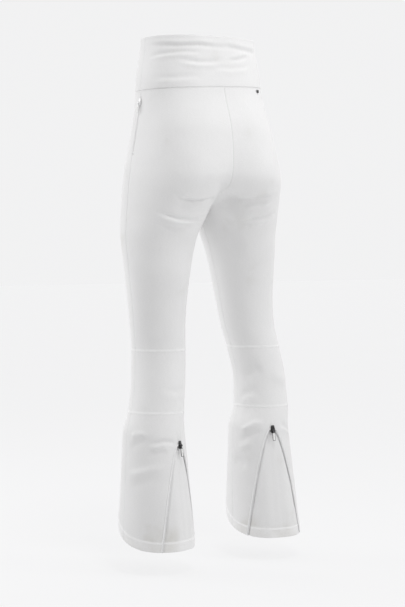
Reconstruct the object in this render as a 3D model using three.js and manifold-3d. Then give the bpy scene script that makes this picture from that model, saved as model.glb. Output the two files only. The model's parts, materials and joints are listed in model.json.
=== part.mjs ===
// Women's flared stretch ski trousers, held in the shape they take when worn, with nobody in them.
// Millimetres, +Z up. The origin is the centre of the waist opening, level with the top edge of the
// waistband. The wearer faces -Y, so the wearer's left leg is on +X.
// Each cut piece of cloth, zip part and snap is a solid of its own, set into the sewn shape with a
// small gap along every seam.
import * as THREE from "three";
import { mergeVertices } from "three/addons/utils/BufferGeometryUtils.js";
import Module from "manifold-3d";

const wasm = await Module();
wasm.setup();

// ---- Heights, measured down from the top edge of the waistband ----
const WAIST_SEAM = -106; // bottom of the high waistband
const CROTCH = -365; // where the two inseams meet
const KNEE_TOP = -658; // upper cross seam
const KNEE_BOTTOM = -787; // lower cross seam
const CALF = -834; // from here down the leg flares with straight sides
const HEM = -1070; // back of the hem
// Point of each hem vent, where its slider parks when it is open. The right knee is bent more, so
// its cloth rides up.
const ZIP_TOP = { left: -853, right: -836 };
const HEM_RISE = 78; // how much higher the hem sits over the instep

// ---- Cloth and trim thicknesses ----
const SHELL = 1.0; // bonded softshell
const TAPE = 0.6; // zip tape
const LINING = 0.7; // pocket bags, facings
const GAP = 0.3; // between touching pieces
const SEAM = 0.4; // between two pieces along a seam
const LAYER_GAP = 0.9; // under the curved shell cloth
const TAPE_DEPTH = SHELL + LAYER_GAP; // a tape lies just under the shell cloth
const GUSSET_DEPTH = TAPE_DEPTH + TAPE + LAYER_GAP;
const HIDDEN_COIL_DEPTH = TAPE_DEPTH + TAPE + GAP; // pocket and fly coils lie behind their tapes

// ---- Places round a leg, in degrees: 0 outer side, 90 back, 180 inseam, -90 front ----
const SIDE_SEAM = 0;
const CENTRE_FRONT = -90;
const CENTRE_BACK = 90;
const HEM_ZIP = { left: 111, right: 97 }; // line that each hem slider runs down
const VENT_SPREAD = { left: 43, right: 51 }; // each side of the vent at the hem
const VENT_CURVE = 0.56; // 1 is a straight-sided vent, less is an arched one

// ---- Zips ----
const COIL_WIDTH = 2.4;
const COIL_HEIGHT = 1.2;
const TAPE_WIDTH = 9;
const VENT_LIP = COIL_WIDTH + 2.2; // bare tape and coil beside the vent's shell edge
const FLY_TOP = WAIST_SEAM - 4;
const FLY_BOTTOM = -232;
const FLY_OPEN = 1.4; // half width of the opening that shows the fly coil
const POCKET_TOP = -122;
const POCKET_BOTTOM = -242;
const POCKET_OPEN = 0.3;

// ---- Slider and pull ----
const SLIDER_LENGTH = 16;
const SLIDER_WIDTH = 10;
const SLIDER_NOSE = 7; // width at the closed end
const SLIDER_PLATE = 1.6;
const SLIDER_LIFT = 2; // how far off the cloth a closed zip's slider is at the bottom of its travel
const EAR_THICK = 1.2;
const EAR_HEIGHT = 3.4;
const PIN_RADIUS = 0.6;
const PIN_HEIGHT = 2.2; // pin's middle above the top plate
const PIN_CLEARANCE = 0.3;
const PULL_WIDTH = 7;
const PULL_LENGTH = 24;
const PULL_THICK = 1.4;

// ---- Waist closure and small sewn-in things ----
const OVERLAP_PAST_CENTRE = 26; // the right end of the waistband laps over the left by this much
const OVERLAP_BACK = 12;
const SNAP_RADIUS = 6.5;
const SNAP_HEIGHT = 1.6;
const SNAP_HEIGHTS = { upper: -26, lower: -79 };
const UNDERLAP = 22; // width of the fly shield past the centre
const LOOP_WIDTH = 7;
const LOOP_SPAN = 60;
const LABEL_WIDTH = 34;
const LABEL_HEIGHT = 46;
const BADGE_AT = 46; // degrees round the right side
const BADGE_WIDTH = 10;
const BADGE_HEIGHT = 6;

// ---- Shape of the worn trousers ----
// Stations down one side. x and y are the middle of the section, out is its half width, front and
// back its depths either way, and square its squareness (2 is an ellipse). Above the crotch the two
// sides share a section that the middle plane cuts.
const TORSO = [
  { z: 0, x: 0, y: 0, out: 128, front: 92, back: 94, square: 2.15 },
  { z: WAIST_SEAM, x: 0, y: 2, out: 142, front: 94, back: 104, square: 2.2 },
  { z: -200, x: 34, y: 5, out: 122, front: 84, back: 130, square: 2.2 },
  { z: -285, x: 65, y: 5, out: 105, front: 90, back: 141, square: 2.2 },
  { z: CROTCH, x: 88, y: 4, out: 88, front: 87, back: 110, square: 2.15 },
  { z: -424, x: 101, y: 4, out: 78, front: 81, back: 87, square: 2.05 },
];
const LEG_SIZES = [
  { z: -490, out: 69, front: 74, back: 72, square: 2 },
  { z: -556, out: 62, front: 68, back: 62, square: 2 },
  { z: -622, out: 58, front: 64, back: 58, square: 2 },
  { z: KNEE_TOP, out: 57, front: 62, back: 58, square: 2 },
  { z: -735, out: 57, front: 59, back: 60, square: 2 },
  { z: KNEE_BOTTOM, out: 59, front: 59, back: 63, square: 2 },
  { z: CALF, out: 65, front: 66, back: 68, square: 2 },
  { z: HEM, out: 81, front: 87, back: 86, square: 2 },
];
const BRIDGE = 26; // the cloth spans the cleft between the two sides, this far either way
const BRIDGE_RISE = 60; // and does so fully this far above the crotch
const WAIST_TILT = -0.045; // the waist seam drops towards the wearer's left, by this slope
// Where the middle of each leg stands, out from the middle plane and back, at the same stations.
const STANCE = {
  left: [
    [104, 7], [100, 0], [94, -7], [91, -10],
    [99, 0], [109, 8], [119, 16], [121, 31],
  ],
  right: [
    [117, -4], [128, -10], [143, -15], [154, -15],
    [167, -9], [166, -3], [155, 4], [164, 10],
  ],
};

const stationsOf = (side) =>
  [...TORSO, ...LEG_SIZES.map((size, i) => ({ ...size, x: STANCE[side][i][0], y: STANCE[side][i][1] }))];
const STATIONS = { left: stationsOf("left"), right: stationsOf("right") };
const RAD = Math.PI / 180;

// Slope of one station value, level where the value turns round, so that nothing overshoots.
function slopeAt(stations, i, key) {
  if (i === 0 || i === stations.length - 1) return 0;
  const rise = (a, b) => (stations[b][key] - stations[a][key]) / (stations[b].z - stations[a].z);
  const before = rise(i - 1, i);
  const after = rise(i, i + 1);
  return before * after <= 0 ? 0 : (2 * before * after) / (before + after);
}

// The section at a height: smooth between stations, and straight from the calf to the hem, so that
// the hem zip has a straight line to run down.
function sectionAt(side, z) {
  const stations = STATIONS[side];
  let i = stations.findIndex((s) => s.z <= z);
  if (i < 0) i = stations.length - 1;
  if (i === 0) i = 1;
  const [a, b] = [stations[i - 1], stations[i]];
  const span = b.z - a.z;
  const t = (z - a.z) / span;
  const straight = z < CALF || i === stations.length - 1;
  const made = {};
  for (const key of ["x", "y", "out", "front", "back", "square"]) {
    const line = a[key] + (b[key] - a[key]) * t;
    const [t2, t3] = [t * t, t * t * t];
    const smooth =
      a[key] * (2 * t3 - 3 * t2 + 1) +
      b[key] * (3 * t2 - 2 * t3) +
      slopeAt(stations, i - 1, key) * span * (t3 - 2 * t2 + t) +
      slopeAt(stations, i, key) * span * (t3 - t2);
    made[key] = straight ? line : smooth;
  }
  return made;
}

const smoothstep = (t) => {
  const k = Math.min(1, Math.max(0, t));
  return k * k * (3 - 2 * k);
};

// x and y of a section at an angle. Above the crotch the cloth bridges the middle smoothly.
function outline(s, z, degrees) {
  const [c, n] = [Math.cos(degrees * RAD), Math.sin(degrees * RAD)];
  const x = s.x + s.out * Math.sign(c) * Math.abs(c) ** (2 / s.square);
  const deep = n > 0 ? s.back : -s.front;
  const span = BRIDGE * smoothstep((z - CROTCH) / BRIDGE_RISE) * (1 - smoothstep((Math.abs(x) - 15) / 60));
  if (span < 0.01) return [x, s.y + deep * Math.abs(n) ** (2 / s.square)];
  const share = Math.min(1, Math.abs((Math.hypot(x, span) - s.x) / s.out));
  return [x, s.y + deep * (1 - share ** s.square) ** (1 / s.square)];
}

// How much of the waist seam's tilt is felt at a height: all at the seam, none at the top edge.
const TILT_ENDS = 2.4 * WAIST_SEAM;
function tiltAt(z) {
  const share = z > WAIST_SEAM ? z / WAIST_SEAM : (z - TILT_ENDS) / (WAIST_SEAM - TILT_ENDS);
  return WAIST_TILT * smoothstep(share);
}

// A point of the trousers: side, height, angle round the section and depth under the outer face.
function surface(side, z, angle, depth = 0) {
  const s = sectionAt(side, z);
  const [x, y] = outline(s, z, angle);
  const step = 1.5;
  const [ax, ay] = outline(s, z, angle - step);
  const [bx, by] = outline(s, z, angle + step);
  const along = Math.hypot(bx - ax, by - ay);
  const [nx, ny] = [(by - ay) / along, -(bx - ax) / along];
  const sign = side === "left" ? 1 : -1;
  const worldX = sign * (x - nx * depth);
  return new THREE.Vector3(worldX, y - ny * depth, z + tiltAt(z) * worldX);
}

// A width in millimetres as degrees round the section at that height.
function degreesFor(side, z, width) {
  const s = sectionAt(side, z);
  return width / ((s.out + (s.front + s.back) / 2) / 2) / RAD;
}

// Angle at which the section meets a plane the given distance from the middle plane. Below the
// crotch it stays at the inseam.
function middleAngle(side, z, distance) {
  const s = sectionAt(side, z);
  const share = (s.x - distance) / s.out;
  const cosine = Math.min(1, Math.abs(share)) ** (s.square / 2) * (share > 0 ? -1 : 1);
  const inseam = 180 - degreesFor(side, z, SEAM / 2);
  return Math.min(inseam, Math.acos(cosine) / RAD);
}

const mix = (a, b, t) => a + (b - a) * t;
const ramp = (a, b, n) => Array.from({ length: n + 1 }, (_, i) => mix(a, b, i / n));
const hemHeight = (angle) => HEM + HEM_RISE * (0.5 - 0.5 * Math.sin(angle * RAD)) ** 2;
const ventDepth = (side, z) => Math.max(0, (ZIP_TOP[side] - z) / (ZIP_TOP[side] - HEM));
const ventSpread = (side, z) => VENT_SPREAD[side] * ventDepth(side, z) ** VENT_CURVE;

// ---- Solids ----
// A closed sheet: rows of outer points and the inner points under them, joined round their rim.
function sheetGeometry(outer, inner, reversed) {
  const rows = outer.length;
  const cols = outer[0].length;
  const points = [...outer.flat(), ...inner.flat()];
  const top = (i, j) => i * cols + j;
  const under = (i, j) => rows * cols + i * cols + j;
  const faces = [];
  const quad = (a, b, c, d) => faces.push(a, b, c, a, c, d);
  for (let i = 0; i < rows - 1; i++)
    for (let j = 0; j < cols - 1; j++) {
      quad(top(i, j), top(i + 1, j), top(i + 1, j + 1), top(i, j + 1));
      quad(under(i, j), under(i, j + 1), under(i + 1, j + 1), under(i + 1, j));
    }
  for (let j = 0; j < cols - 1; j++) {
    quad(top(0, j), top(0, j + 1), under(0, j + 1), under(0, j));
    quad(top(rows - 1, j + 1), top(rows - 1, j), under(rows - 1, j), under(rows - 1, j + 1));
  }
  for (let i = 0; i < rows - 1; i++) {
    quad(top(i + 1, 0), top(i, 0), under(i, 0), under(i + 1, 0));
    quad(top(i, cols - 1), top(i + 1, cols - 1), under(i + 1, cols - 1), under(i, cols - 1));
  }
  if (reversed) faces.reverse();
  const geometry = new THREE.BufferGeometry();
  geometry.setAttribute("position", new THREE.Float32BufferAttribute(points.flatMap((p) => p.toArray()), 3));
  geometry.setIndex(faces);
  return geometry;
}

// A patch of the trousers. from and to give its two edges' angles at a height. Its rows are at the
// heights given, or where heightAt puts each row for an angle at the hem. Depths are under the
// outer face.
function patch(side, { from, to, heights, heightAt = (row) => row, across, outer, inner }) {
  const grid = (depth) =>
    heights.map((row) =>
      ramp(0, 1, across).map((s) => {
        const z = heightAt(row, mix(from(HEM), to(HEM), s));
        return surface(side, z, mix(from(z), to(z), s), depth);
      }),
    );
  return sheetGeometry(grid(outer), grid(inner), side === "right");
}

// Rows of the lower leg, as shares: a fifth of them reach the calf, and the rest the hem.
const LOWER_LEG = {
  heights: ramp(0, 1, 10),
  heightAt(row, angle) {
    if (row <= 0.2) return mix(KNEE_BOTTOM - SEAM, CALF, row / 0.2);
    return mix(CALF, hemHeight(angle), (row - 0.2) / 0.8);
  },
};

function solidOf(geometry) {
  const bare = geometry.clone();
  for (const name of ["normal", "uv"]) bare.deleteAttribute(name);
  const merged = mergeVertices(bare, 1e-4);
  return new wasm.Manifold(
    new wasm.Mesh({
      numProp: 3,
      vertProperties: merged.attributes.position.array,
      triVerts: new Uint32Array(merged.index.array),
    }),
  );
}

function geometryOf(solid) {
  const mesh = solid.getMesh();
  return new THREE.BufferGeometry()
    .setAttribute("position", new THREE.BufferAttribute(mesh.vertProperties, 3))
    .setIndex(new THREE.BufferAttribute(mesh.triVerts, 1));
}

// ---- Materials ----
const material = (color, roughness, metalness = 0) =>
  new THREE.MeshStandardMaterial({ color, roughness, metalness });
const softshell = material(0xf4f3f3, 0.85);
const lining = material(0xeeeeee, 0.9);
const tapeCloth = material(0xf2f1f2, 0.8);
const coilNylon = material(0xefeeee, 0.45);
const blackMetal = material(0x17181a, 0.4, 0.7);
const whiteRubber = material(0xf0f0ee, 0.6);
const whiteSnap = material(0xf3f3f3, 0.35);

const trousers = new THREE.Group();
function add(name, geometry, look, parent = trousers) {
  const mesh = new THREE.Mesh(geometry, look);
  mesh.name = name;
  parent.add(mesh);
}

// ---- Cloth of one side ----
const TORSO_ROWS = 9;
const THIGH_ROWS = 11;
const PANEL_COLUMNS = 12;

// Heights down a front or back panel, closer together towards the crotch where its edge turns, and
// with a short step at each end of a zip's slit.
function panelHeights() {
  const top = WAIST_SEAM - SEAM;
  const steps = [POCKET_TOP, POCKET_BOTTOM, FLY_BOTTOM].flatMap((z) => [z + 1, z - 0.5]);
  const above = ramp(0, 1, TORSO_ROWS).map((t) => CROTCH + (top - CROTCH) * (1 - t) ** 1.6);
  const clear = above.filter((z) => z === top || steps.every((step) => Math.abs(z - step) > 5));
  const below = ramp(CROTCH - 1, KNEE_TOP + SEAM, THIGH_ROWS);
  return [...clear, ...steps, ...below].sort((a, b) => b - a);
}

// The side seam, opened where the hand pocket's zip shows.
const between = (z, low, high) => z <= high && z >= low;
function sideEdge(side, z) {
  const half = between(z, POCKET_BOTTOM, POCKET_TOP) ? POCKET_OPEN : SEAM / 2;
  return degreesFor(side, z, half);
}

// The middle edge, opened at the front where the fly's zip shows.
const frontMiddle = (z) => (between(z, FLY_BOTTOM, 0) ? FLY_OPEN : SEAM / 2);

function upperPanels(side) {
  const shape = { heights: panelHeights(), across: PANEL_COLUMNS, outer: 0, inner: SHELL };
  add(
    `front_panel_${side}`,
    patch(side, {
      ...shape,
      from: (z) => -middleAngle(side, z, frontMiddle(z)),
      to: (z) => SIDE_SEAM - sideEdge(side, z),
    }),
    softshell,
  );
  add(
    `back_panel_${side}`,
    patch(side, {
      ...shape,
      from: (z) => SIDE_SEAM + sideEdge(side, z),
      to: (z) => middleAngle(side, z, SEAM / 2),
    }),
    softshell,
  );
}

const inseamEdge = (side, z) => 180 - degreesFor(side, z, SEAM / 2);
const seamEdge = (side, z) => degreesFor(side, z, SEAM / 2);

function kneePanels(side) {
  const shape = {
    heights: ramp(KNEE_TOP - SEAM, KNEE_BOTTOM + SEAM, 5),
    across: PANEL_COLUMNS,
    outer: 0,
    inner: SHELL,
  };
  add(
    `knee_front_${side}`,
    patch(side, { ...shape, from: (z) => -inseamEdge(side, z), to: (z) => SIDE_SEAM - seamEdge(side, z) }),
    softshell,
  );
  add(
    `knee_back_${side}`,
    patch(side, { ...shape, from: (z) => SIDE_SEAM + seamEdge(side, z), to: (z) => inseamEdge(side, z) }),
    softshell,
  );
}

// The vent's own angles at a height: half its spread, with a width in millimetres added.
const ventEdge = (side, z, way, extra) =>
  HEM_ZIP[side] + way * (ventSpread(side, z) + degreesFor(side, z, extra));
const VENT_ROWS = ramp(0, 1, 12).map((t) => t ** 1.6);
const ventRows = (side) => ({
  heights: VENT_ROWS.slice(1),
  heightAt: (row, angle) => mix(ZIP_TOP[side], hemHeight(angle), row),
});

function lowerLeg(side) {
  add(
    `shin_panel_${side}`,
    patch(side, {
      ...LOWER_LEG,
      from: (z) => -inseamEdge(side, z),
      to: (z) => SIDE_SEAM - seamEdge(side, z),
      across: PANEL_COLUMNS,
      outer: 0,
      inner: SHELL,
    }),
    softshell,
  );
  const calf = patch(side, {
    ...LOWER_LEG,
    from: (z) => SIDE_SEAM + seamEdge(side, z),
    to: (z) => inseamEdge(side, z),
    across: 24,
    outer: 0,
    inner: SHELL,
  });
  const ventWedge = patch(side, {
    heights: [ZIP_TOP[side] + 3, ...VENT_ROWS.map((row) => mix(ZIP_TOP[side], HEM, row)), HEM - 10],
    from: (z) => ventEdge(side, z, -1, VENT_LIP),
    to: (z) => ventEdge(side, z, 1, VENT_LIP),
    across: 12,
    outer: -5,
    inner: 6,
  });
  add(`calf_panel_${side}`, geometryOf(solidOf(calf).subtract(solidOf(ventWedge))), softshell);
  add(
    `vent_gusset_${side}`,
    patch(side, {
      ...ventRows(side),
      from: (z) => ventEdge(side, z, -1, TAPE_WIDTH),
      to: (z) => ventEdge(side, z, 1, TAPE_WIDTH),
      across: 10,
      outer: GUSSET_DEPTH,
      inner: GUSSET_DEPTH + SHELL,
    }),
    softshell,
  );
}

// The turned-up hem, behind the shell from one zip tape round the front to the other.
function hemFacing(side) {
  const clear = TAPE_WIDTH + 6;
  add(
    `hem_facing_${side}`,
    sheetGeometry(
      ...[TAPE_DEPTH, TAPE_DEPTH + LINING].map((depth) =>
        ramp(20, 0, 2).map((up) =>
          ramp(ventEdge(side, HEM, 1, clear) - 360, ventEdge(side, HEM, -1, clear), 26).map((angle) =>
            surface(side, hemHeight(angle) + up, angle, depth),
          ),
        ),
      ),
      side === "right",
    ),
    lining,
  );
}

// ---- Sliders and pulls ----
// A slider's own frame has +X along the zip to its open end, +Z out of the cloth, and its middle at
// the origin, level with the outer face of the cloth.
function plateShape() {
  const shape = new THREE.Shape();
  const [half, wide, nose] = [SLIDER_LENGTH / 2, SLIDER_WIDTH / 2, SLIDER_NOSE / 2];
  shape.moveTo(half, -nose);
  shape.lineTo(half, nose);
  shape.quadraticCurveTo(half / 3, wide, -half / 3, wide);
  shape.absarc(-half + 1, wide - 1, 1, Math.PI / 2, Math.PI, false);
  shape.absarc(-half + 1, -wide + 1, 1, Math.PI, (3 * Math.PI) / 2, false);
  shape.lineTo(-half / 3, -wide);
  shape.quadraticCurveTo(half / 3, -wide, half, -nose);
  return shape;
}

const extrude = (shape, depth) =>
  new THREE.ExtrudeGeometry(shape, { depth, bevelEnabled: false, curveSegments: 4 });
const box = (x, y, z, at) => new THREE.BoxGeometry(x, y, z).translate(...at);

const PLATE_TOP = LAYER_GAP + SLIDER_PLATE; // outer face of the top plate over the cloth
const PIN_LEVEL = PLATE_TOP + PIN_HEIGHT;
const PIN_AT = -1.5; // along the slider

function sliderGeometry() {
  const ears = [-1, 1].map((way) =>
    box(5, EAR_THICK, EAR_HEIGHT + 0.2, [
      PIN_AT,
      way * (PULL_WIDTH / 4 + GAP + EAR_THICK / 2),
      PLATE_TOP - 0.2 + (EAR_HEIGHT + 0.2) / 2,
    ]),
  );
  const pin = new THREE.CylinderGeometry(PIN_RADIUS, PIN_RADIUS, PULL_WIDTH / 2 + 1.6, 10).translate(
    PIN_AT,
    0,
    PIN_LEVEL,
  );
  const plate = extrude(plateShape(), SLIDER_PLATE).translate(0, 0, PLATE_TOP - SLIDER_PLATE);
  return [...ears, pin].reduce((sum, g) => sum.add(solidOf(g)), solidOf(plate));
}

// The pull hangs from the pin: a narrow eye, then a tab with round ends.
function pullGeometry() {
  const eye = PULL_WIDTH / 4;
  const shape = new THREE.Shape();
  const shoulder = -5.5;
  const round = PULL_WIDTH / 2;
  shape.moveTo(1.6, -eye);
  shape.lineTo(1.6, eye);
  shape.lineTo(shoulder + 1.5, eye);
  shape.lineTo(shoulder, round);
  shape.lineTo(-PULL_LENGTH + round, round);
  shape.absarc(-PULL_LENGTH + round, 0, round, Math.PI / 2, (3 * Math.PI) / 2, false);
  shape.lineTo(shoulder, -round);
  shape.lineTo(shoulder + 1.5, -eye);
  const tab = extrude(shape, PULL_THICK).translate(0, 0, -PULL_THICK / 2);
  const collar = new THREE.CylinderGeometry(1.6, 1.6, 2 * eye, 16);
  const bore = new THREE.CylinderGeometry(PIN_RADIUS + PIN_CLEARANCE, PIN_RADIUS + PIN_CLEARANCE, 8, 12);
  return solidOf(tab).add(solidOf(collar)).subtract(solidOf(bore));
}

// Hangs a slider and its pull at a point, with its open end towards along and its face towards out.
function addSlider(name, look, pullLook, at, down, out) {
  const x = down.clone().normalize();
  const y = new THREE.Vector3().crossVectors(out, x).normalize();
  const z = new THREE.Vector3().crossVectors(x, y);
  const frame = new THREE.Group();
  frame.applyMatrix4(new THREE.Matrix4().makeBasis(x.negate(), y.negate(), z));
  frame.position.copy(at);
  add(`${name}_slider`, geometryOf(sliderGeometry()), look, frame);
  const hinge = new THREE.Group();
  hinge.position.set(PIN_AT, 0, PIN_LEVEL);
  add(`${name}_pull`, geometryOf(pullGeometry()), pullLook, hinge);
  frame.add(hinge);
  trousers.add(frame);
}

// The hem zip: two tapes and coils down the sides of the vent, parted all the way.
function hemZip(side) {
  const way = { outer: -1, inner: 1 };
  for (const [name, sign] of Object.entries(way)) {
    const edge = (z, extra) => ventEdge(side, z, sign, extra);
    const strip = (near, far, outer, inner, across) => {
      const [a, b] = sign > 0 ? [near, far] : [far, near];
      const angles = { from: (z) => edge(z, a), to: (z) => edge(z, b) };
      return patch(side, { ...ventRows(side), ...angles, across, outer, inner });
    };
    add(
      `hem_zip_tape_${name}_${side}`,
      strip(1, 1 + TAPE_WIDTH, TAPE_DEPTH, TAPE_DEPTH + TAPE, 2),
      tapeCloth,
    );
    add(
      `hem_zip_coil_${name}_${side}`,
      strip(0.8, 0.8 + COIL_WIDTH, TAPE_DEPTH - GAP - COIL_HEIGHT, TAPE_DEPTH - GAP, 1),
      coilNylon,
    );
  }
  const at = surface(side, ZIP_TOP[side], HEM_ZIP[side]);
  const foot = surface(side, HEM, HEM_ZIP[side]);
  const out = surface(side, ZIP_TOP[side], HEM_ZIP[side], -1).sub(at);
  addSlider(`hem_zip_${side}`, blackMetal, whiteRubber, at, foot.sub(at), out);
}

// A closed zip behind a seam: two tapes with the coil behind them, and the slider at the top.
function closedZip(name, side, angleAt, top, bottom, tapes) {
  const heights = ramp(top, bottom, 8);
  const strip = (fromWidth, toWidth, outer, inner, across) =>
    patch(side, {
      heights,
      from: (z) => angleAt(z) + degreesFor(side, z, fromWidth),
      to: (z) => angleAt(z) + degreesFor(side, z, toWidth),
      across,
      outer,
      inner,
    });
  for (const [tape, from, to] of tapes)
    add(tape, strip(from, to, TAPE_DEPTH, TAPE_DEPTH + TAPE, 2), tapeCloth);
  add(
    `${name}_coil`,
    strip(-COIL_WIDTH / 2, COIL_WIDTH / 2, HIDDEN_COIL_DEPTH, HIDDEN_COIL_DEPTH + COIL_HEIGHT, 1),
    coilNylon,
  );
  const start = top - SLIDER_LENGTH / 2;
  const at = surface(side, start, angleAt(start));
  const foot = surface(side, bottom, angleAt(bottom), -SLIDER_LIFT);
  addSlider(
    name,
    whiteSnap,
    whiteRubber,
    at,
    foot.sub(at),
    surface(side, start, angleAt(start), -1).sub(at),
  );
}

function pocket(side) {
  const seam = () => SIDE_SEAM;
  closedZip(`pocket_${side}`, side, seam, POCKET_TOP - 1, POCKET_BOTTOM + 1, [
    [`pocket_tape_front_${side}`, -TAPE_WIDTH, -0.2],
    [`pocket_tape_back_${side}`, 0.2, TAPE_WIDTH],
  ]);
  add(
    `pocket_bag_${side}`,
    patch(side, {
      heights: ramp(POCKET_TOP + 4, POCKET_BOTTOM - 55, 8),
      from: (z) => SIDE_SEAM - degreesFor(side, z, 105),
      to: (z) => SIDE_SEAM - degreesFor(side, z, TAPE_WIDTH + 2),
      across: 6,
      outer: TAPE_DEPTH,
      inner: TAPE_DEPTH + LINING,
    }),
    lining,
  );
}

// ---- Waist and fly ----
const WAIST_FACING = SHELL + LAYER_GAP;

function waistband() {
  const band = (from, to, across, outer, inner, top = 0, bottom = WAIST_SEAM) =>
    patch("left", { heights: ramp(top, bottom, 4), from: () => from, to: () => to, across, outer, inner });
  const seam = degreesFor("left", WAIST_SEAM, SEAM / 2);
  add("waistband_back", band(SIDE_SEAM + seam, 180 - SIDE_SEAM - seam, 26, 0, SHELL), softshell);
  add("waistband_front_left", band(CENTRE_FRONT + seam, SIDE_SEAM - seam, 10, 0, SHELL), softshell);
  add(
    "waistband_front_right",
    band(180 - SIDE_SEAM + seam, 360 + CENTRE_FRONT - seam, 10, 0, SHELL),
    softshell,
  );
  add(
    "waistband_facing",
    band(CENTRE_FRONT + seam, 270 - seam, 40, WAIST_FACING, WAIST_FACING + LINING),
    lining,
  );
  const lap = (width) => degreesFor("left", 0, width);
  add(
    "waistband_overlap",
    band(
      CENTRE_FRONT - lap(OVERLAP_BACK),
      CENTRE_FRONT + lap(OVERLAP_PAST_CENTRE),
      6,
      -GAP - SHELL,
      -GAP,
      -1,
      WAIST_SEAM + 1,
    ),
    softshell,
  );
}

// Radius and height round each half of a snap.
const SNAP_CAP = [
  [0, 0], [SNAP_RADIUS, 0], [SNAP_RADIUS, SNAP_HEIGHT / 2],
  [SNAP_RADIUS - 1, SNAP_HEIGHT], [0, SNAP_HEIGHT], [0, 0],
];
const SNAP_POST = [
  [0, -SNAP_HEIGHT], [SNAP_RADIUS - 1, -SNAP_HEIGHT], [SNAP_RADIUS - 1, 0], [0, 0], [0, -SNAP_HEIGHT],
];
const lathe = (profile) => new THREE.LatheGeometry(profile.map(([r, y]) => new THREE.Vector2(r, y)), 20);

function snaps() {
  const angle = CENTRE_FRONT + degreesFor("left", 0, OVERLAP_PAST_CENTRE - 12);
  for (const [name, z] of Object.entries(SNAP_HEIGHTS)) {
    const out = surface("left", z, angle, -1).sub(surface("left", z, angle)).normalize();
    const place = (geometry, depth) => {
      const turn = new THREE.Quaternion().setFromUnitVectors(new THREE.Vector3(0, 1, 0), out);
      return geometry.applyQuaternion(turn).translate(...surface("left", z, angle, depth).toArray());
    };
    add(`snap_cap_${name}`, place(lathe(SNAP_CAP), -SHELL - 2 * GAP - 0.2), whiteSnap);
    add(`snap_post_${name}`, place(lathe(SNAP_POST), WAIST_FACING + LINING + GAP + 0.2), whiteSnap);
  }
}

function fly() {
  const angleAt = (z) => -middleAngle("left", z, 0);
  closedZip("fly", "left", angleAt, FLY_TOP, FLY_BOTTOM + 1, [["fly_tape_left", 0.2, TAPE_WIDTH]]);
  const right = patch("right", {
    heights: ramp(FLY_TOP, FLY_BOTTOM + 1, 8),
    from: (z) => angleAt(z) + degreesFor("right", z, 0.2),
    to: (z) => angleAt(z) + degreesFor("right", z, TAPE_WIDTH),
    across: 2,
    outer: TAPE_DEPTH,
    inner: TAPE_DEPTH + TAPE,
  });
  add("fly_tape_right", right, tapeCloth);
  const shieldDepth = HIDDEN_COIL_DEPTH + COIL_HEIGHT + LAYER_GAP;
  add(
    "fly_shield",
    patch("left", {
      heights: ramp(WAIST_SEAM - 1, FLY_BOTTOM - 12, 6),
      from: (z) => angleAt(z) + degreesFor("left", z, 0.5),
      to: (z) => angleAt(z) + degreesFor("left", z, UNDERLAP),
      across: 3,
      outer: shieldDepth,
      inner: shieldDepth + LINING,
    }),
    lining,
  );
}

// Loop for a hook, folded care label, and the small plain badge under the waist seam.
function sewnInThings() {
  const depth = WAIST_FACING + LINING + LAYER_GAP;
  const span = degreesFor("left", 0, LOOP_SPAN / 2);
  const sheet = (from, to, top, bottom, across, outer, inner, bulge = 0) => {
    const grid = (d) =>
      ramp(top, bottom, 2).map((z) =>
        ramp(0, 1, across).map((s) =>
          surface("left", z, mix(from, to, s), d + bulge * Math.sin(Math.PI * s)),
        ),
      );
    return sheetGeometry(grid(outer), grid(inner), false);
  };
  add(
    "hanger_loop",
    sheet(CENTRE_BACK - span, CENTRE_BACK + span, -8, -8 - LOOP_WIDTH, 12, depth, depth + TAPE, 6),
    tapeCloth,
  );
  const half = degreesFor("left", 0, LABEL_WIDTH / 2);
  add(
    "care_label",
    sheet(CENTRE_BACK - half, CENTRE_BACK + half, -22, -22 - LABEL_HEIGHT, 4, depth, depth + 0.4),
    tapeCloth,
  );
  const badgeTop = WAIST_SEAM - 5;
  add(
    "badge",
    patch("right", {
      heights: ramp(badgeTop, badgeTop - BADGE_HEIGHT, 1),
      from: () => BADGE_AT,
      to: () => BADGE_AT + degreesFor("right", badgeTop, BADGE_WIDTH),
      across: 2,
      outer: -LAYER_GAP - 0.8,
      inner: -LAYER_GAP,
    }),
    blackMetal,
  );
}

for (const side of ["left", "right"]) {
  upperPanels(side);
  kneePanels(side);
  lowerLeg(side);
  hemFacing(side);
  hemZip(side);
  pocket(side);
}
waistband();
snaps();
fly();
sewnInThings();

export default trousers;
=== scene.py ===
"""White flared ski trousers, as worn, with nobody in them: cloth, seams, zips, snaps and stage.

Every panel is a sheet of stretch cloth built over the solid part it replaces, in the same frame and
at the same size: metres, +Z up, the wearer facing -Y, their left leg on +X.
"""

import json
import math

import bmesh
import bpy
import numpy as np
from bpy.props import FloatProperty, FloatVectorProperty
from mathutils import Matrix, Vector
from mathutils.kdtree import KDTree


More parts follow.
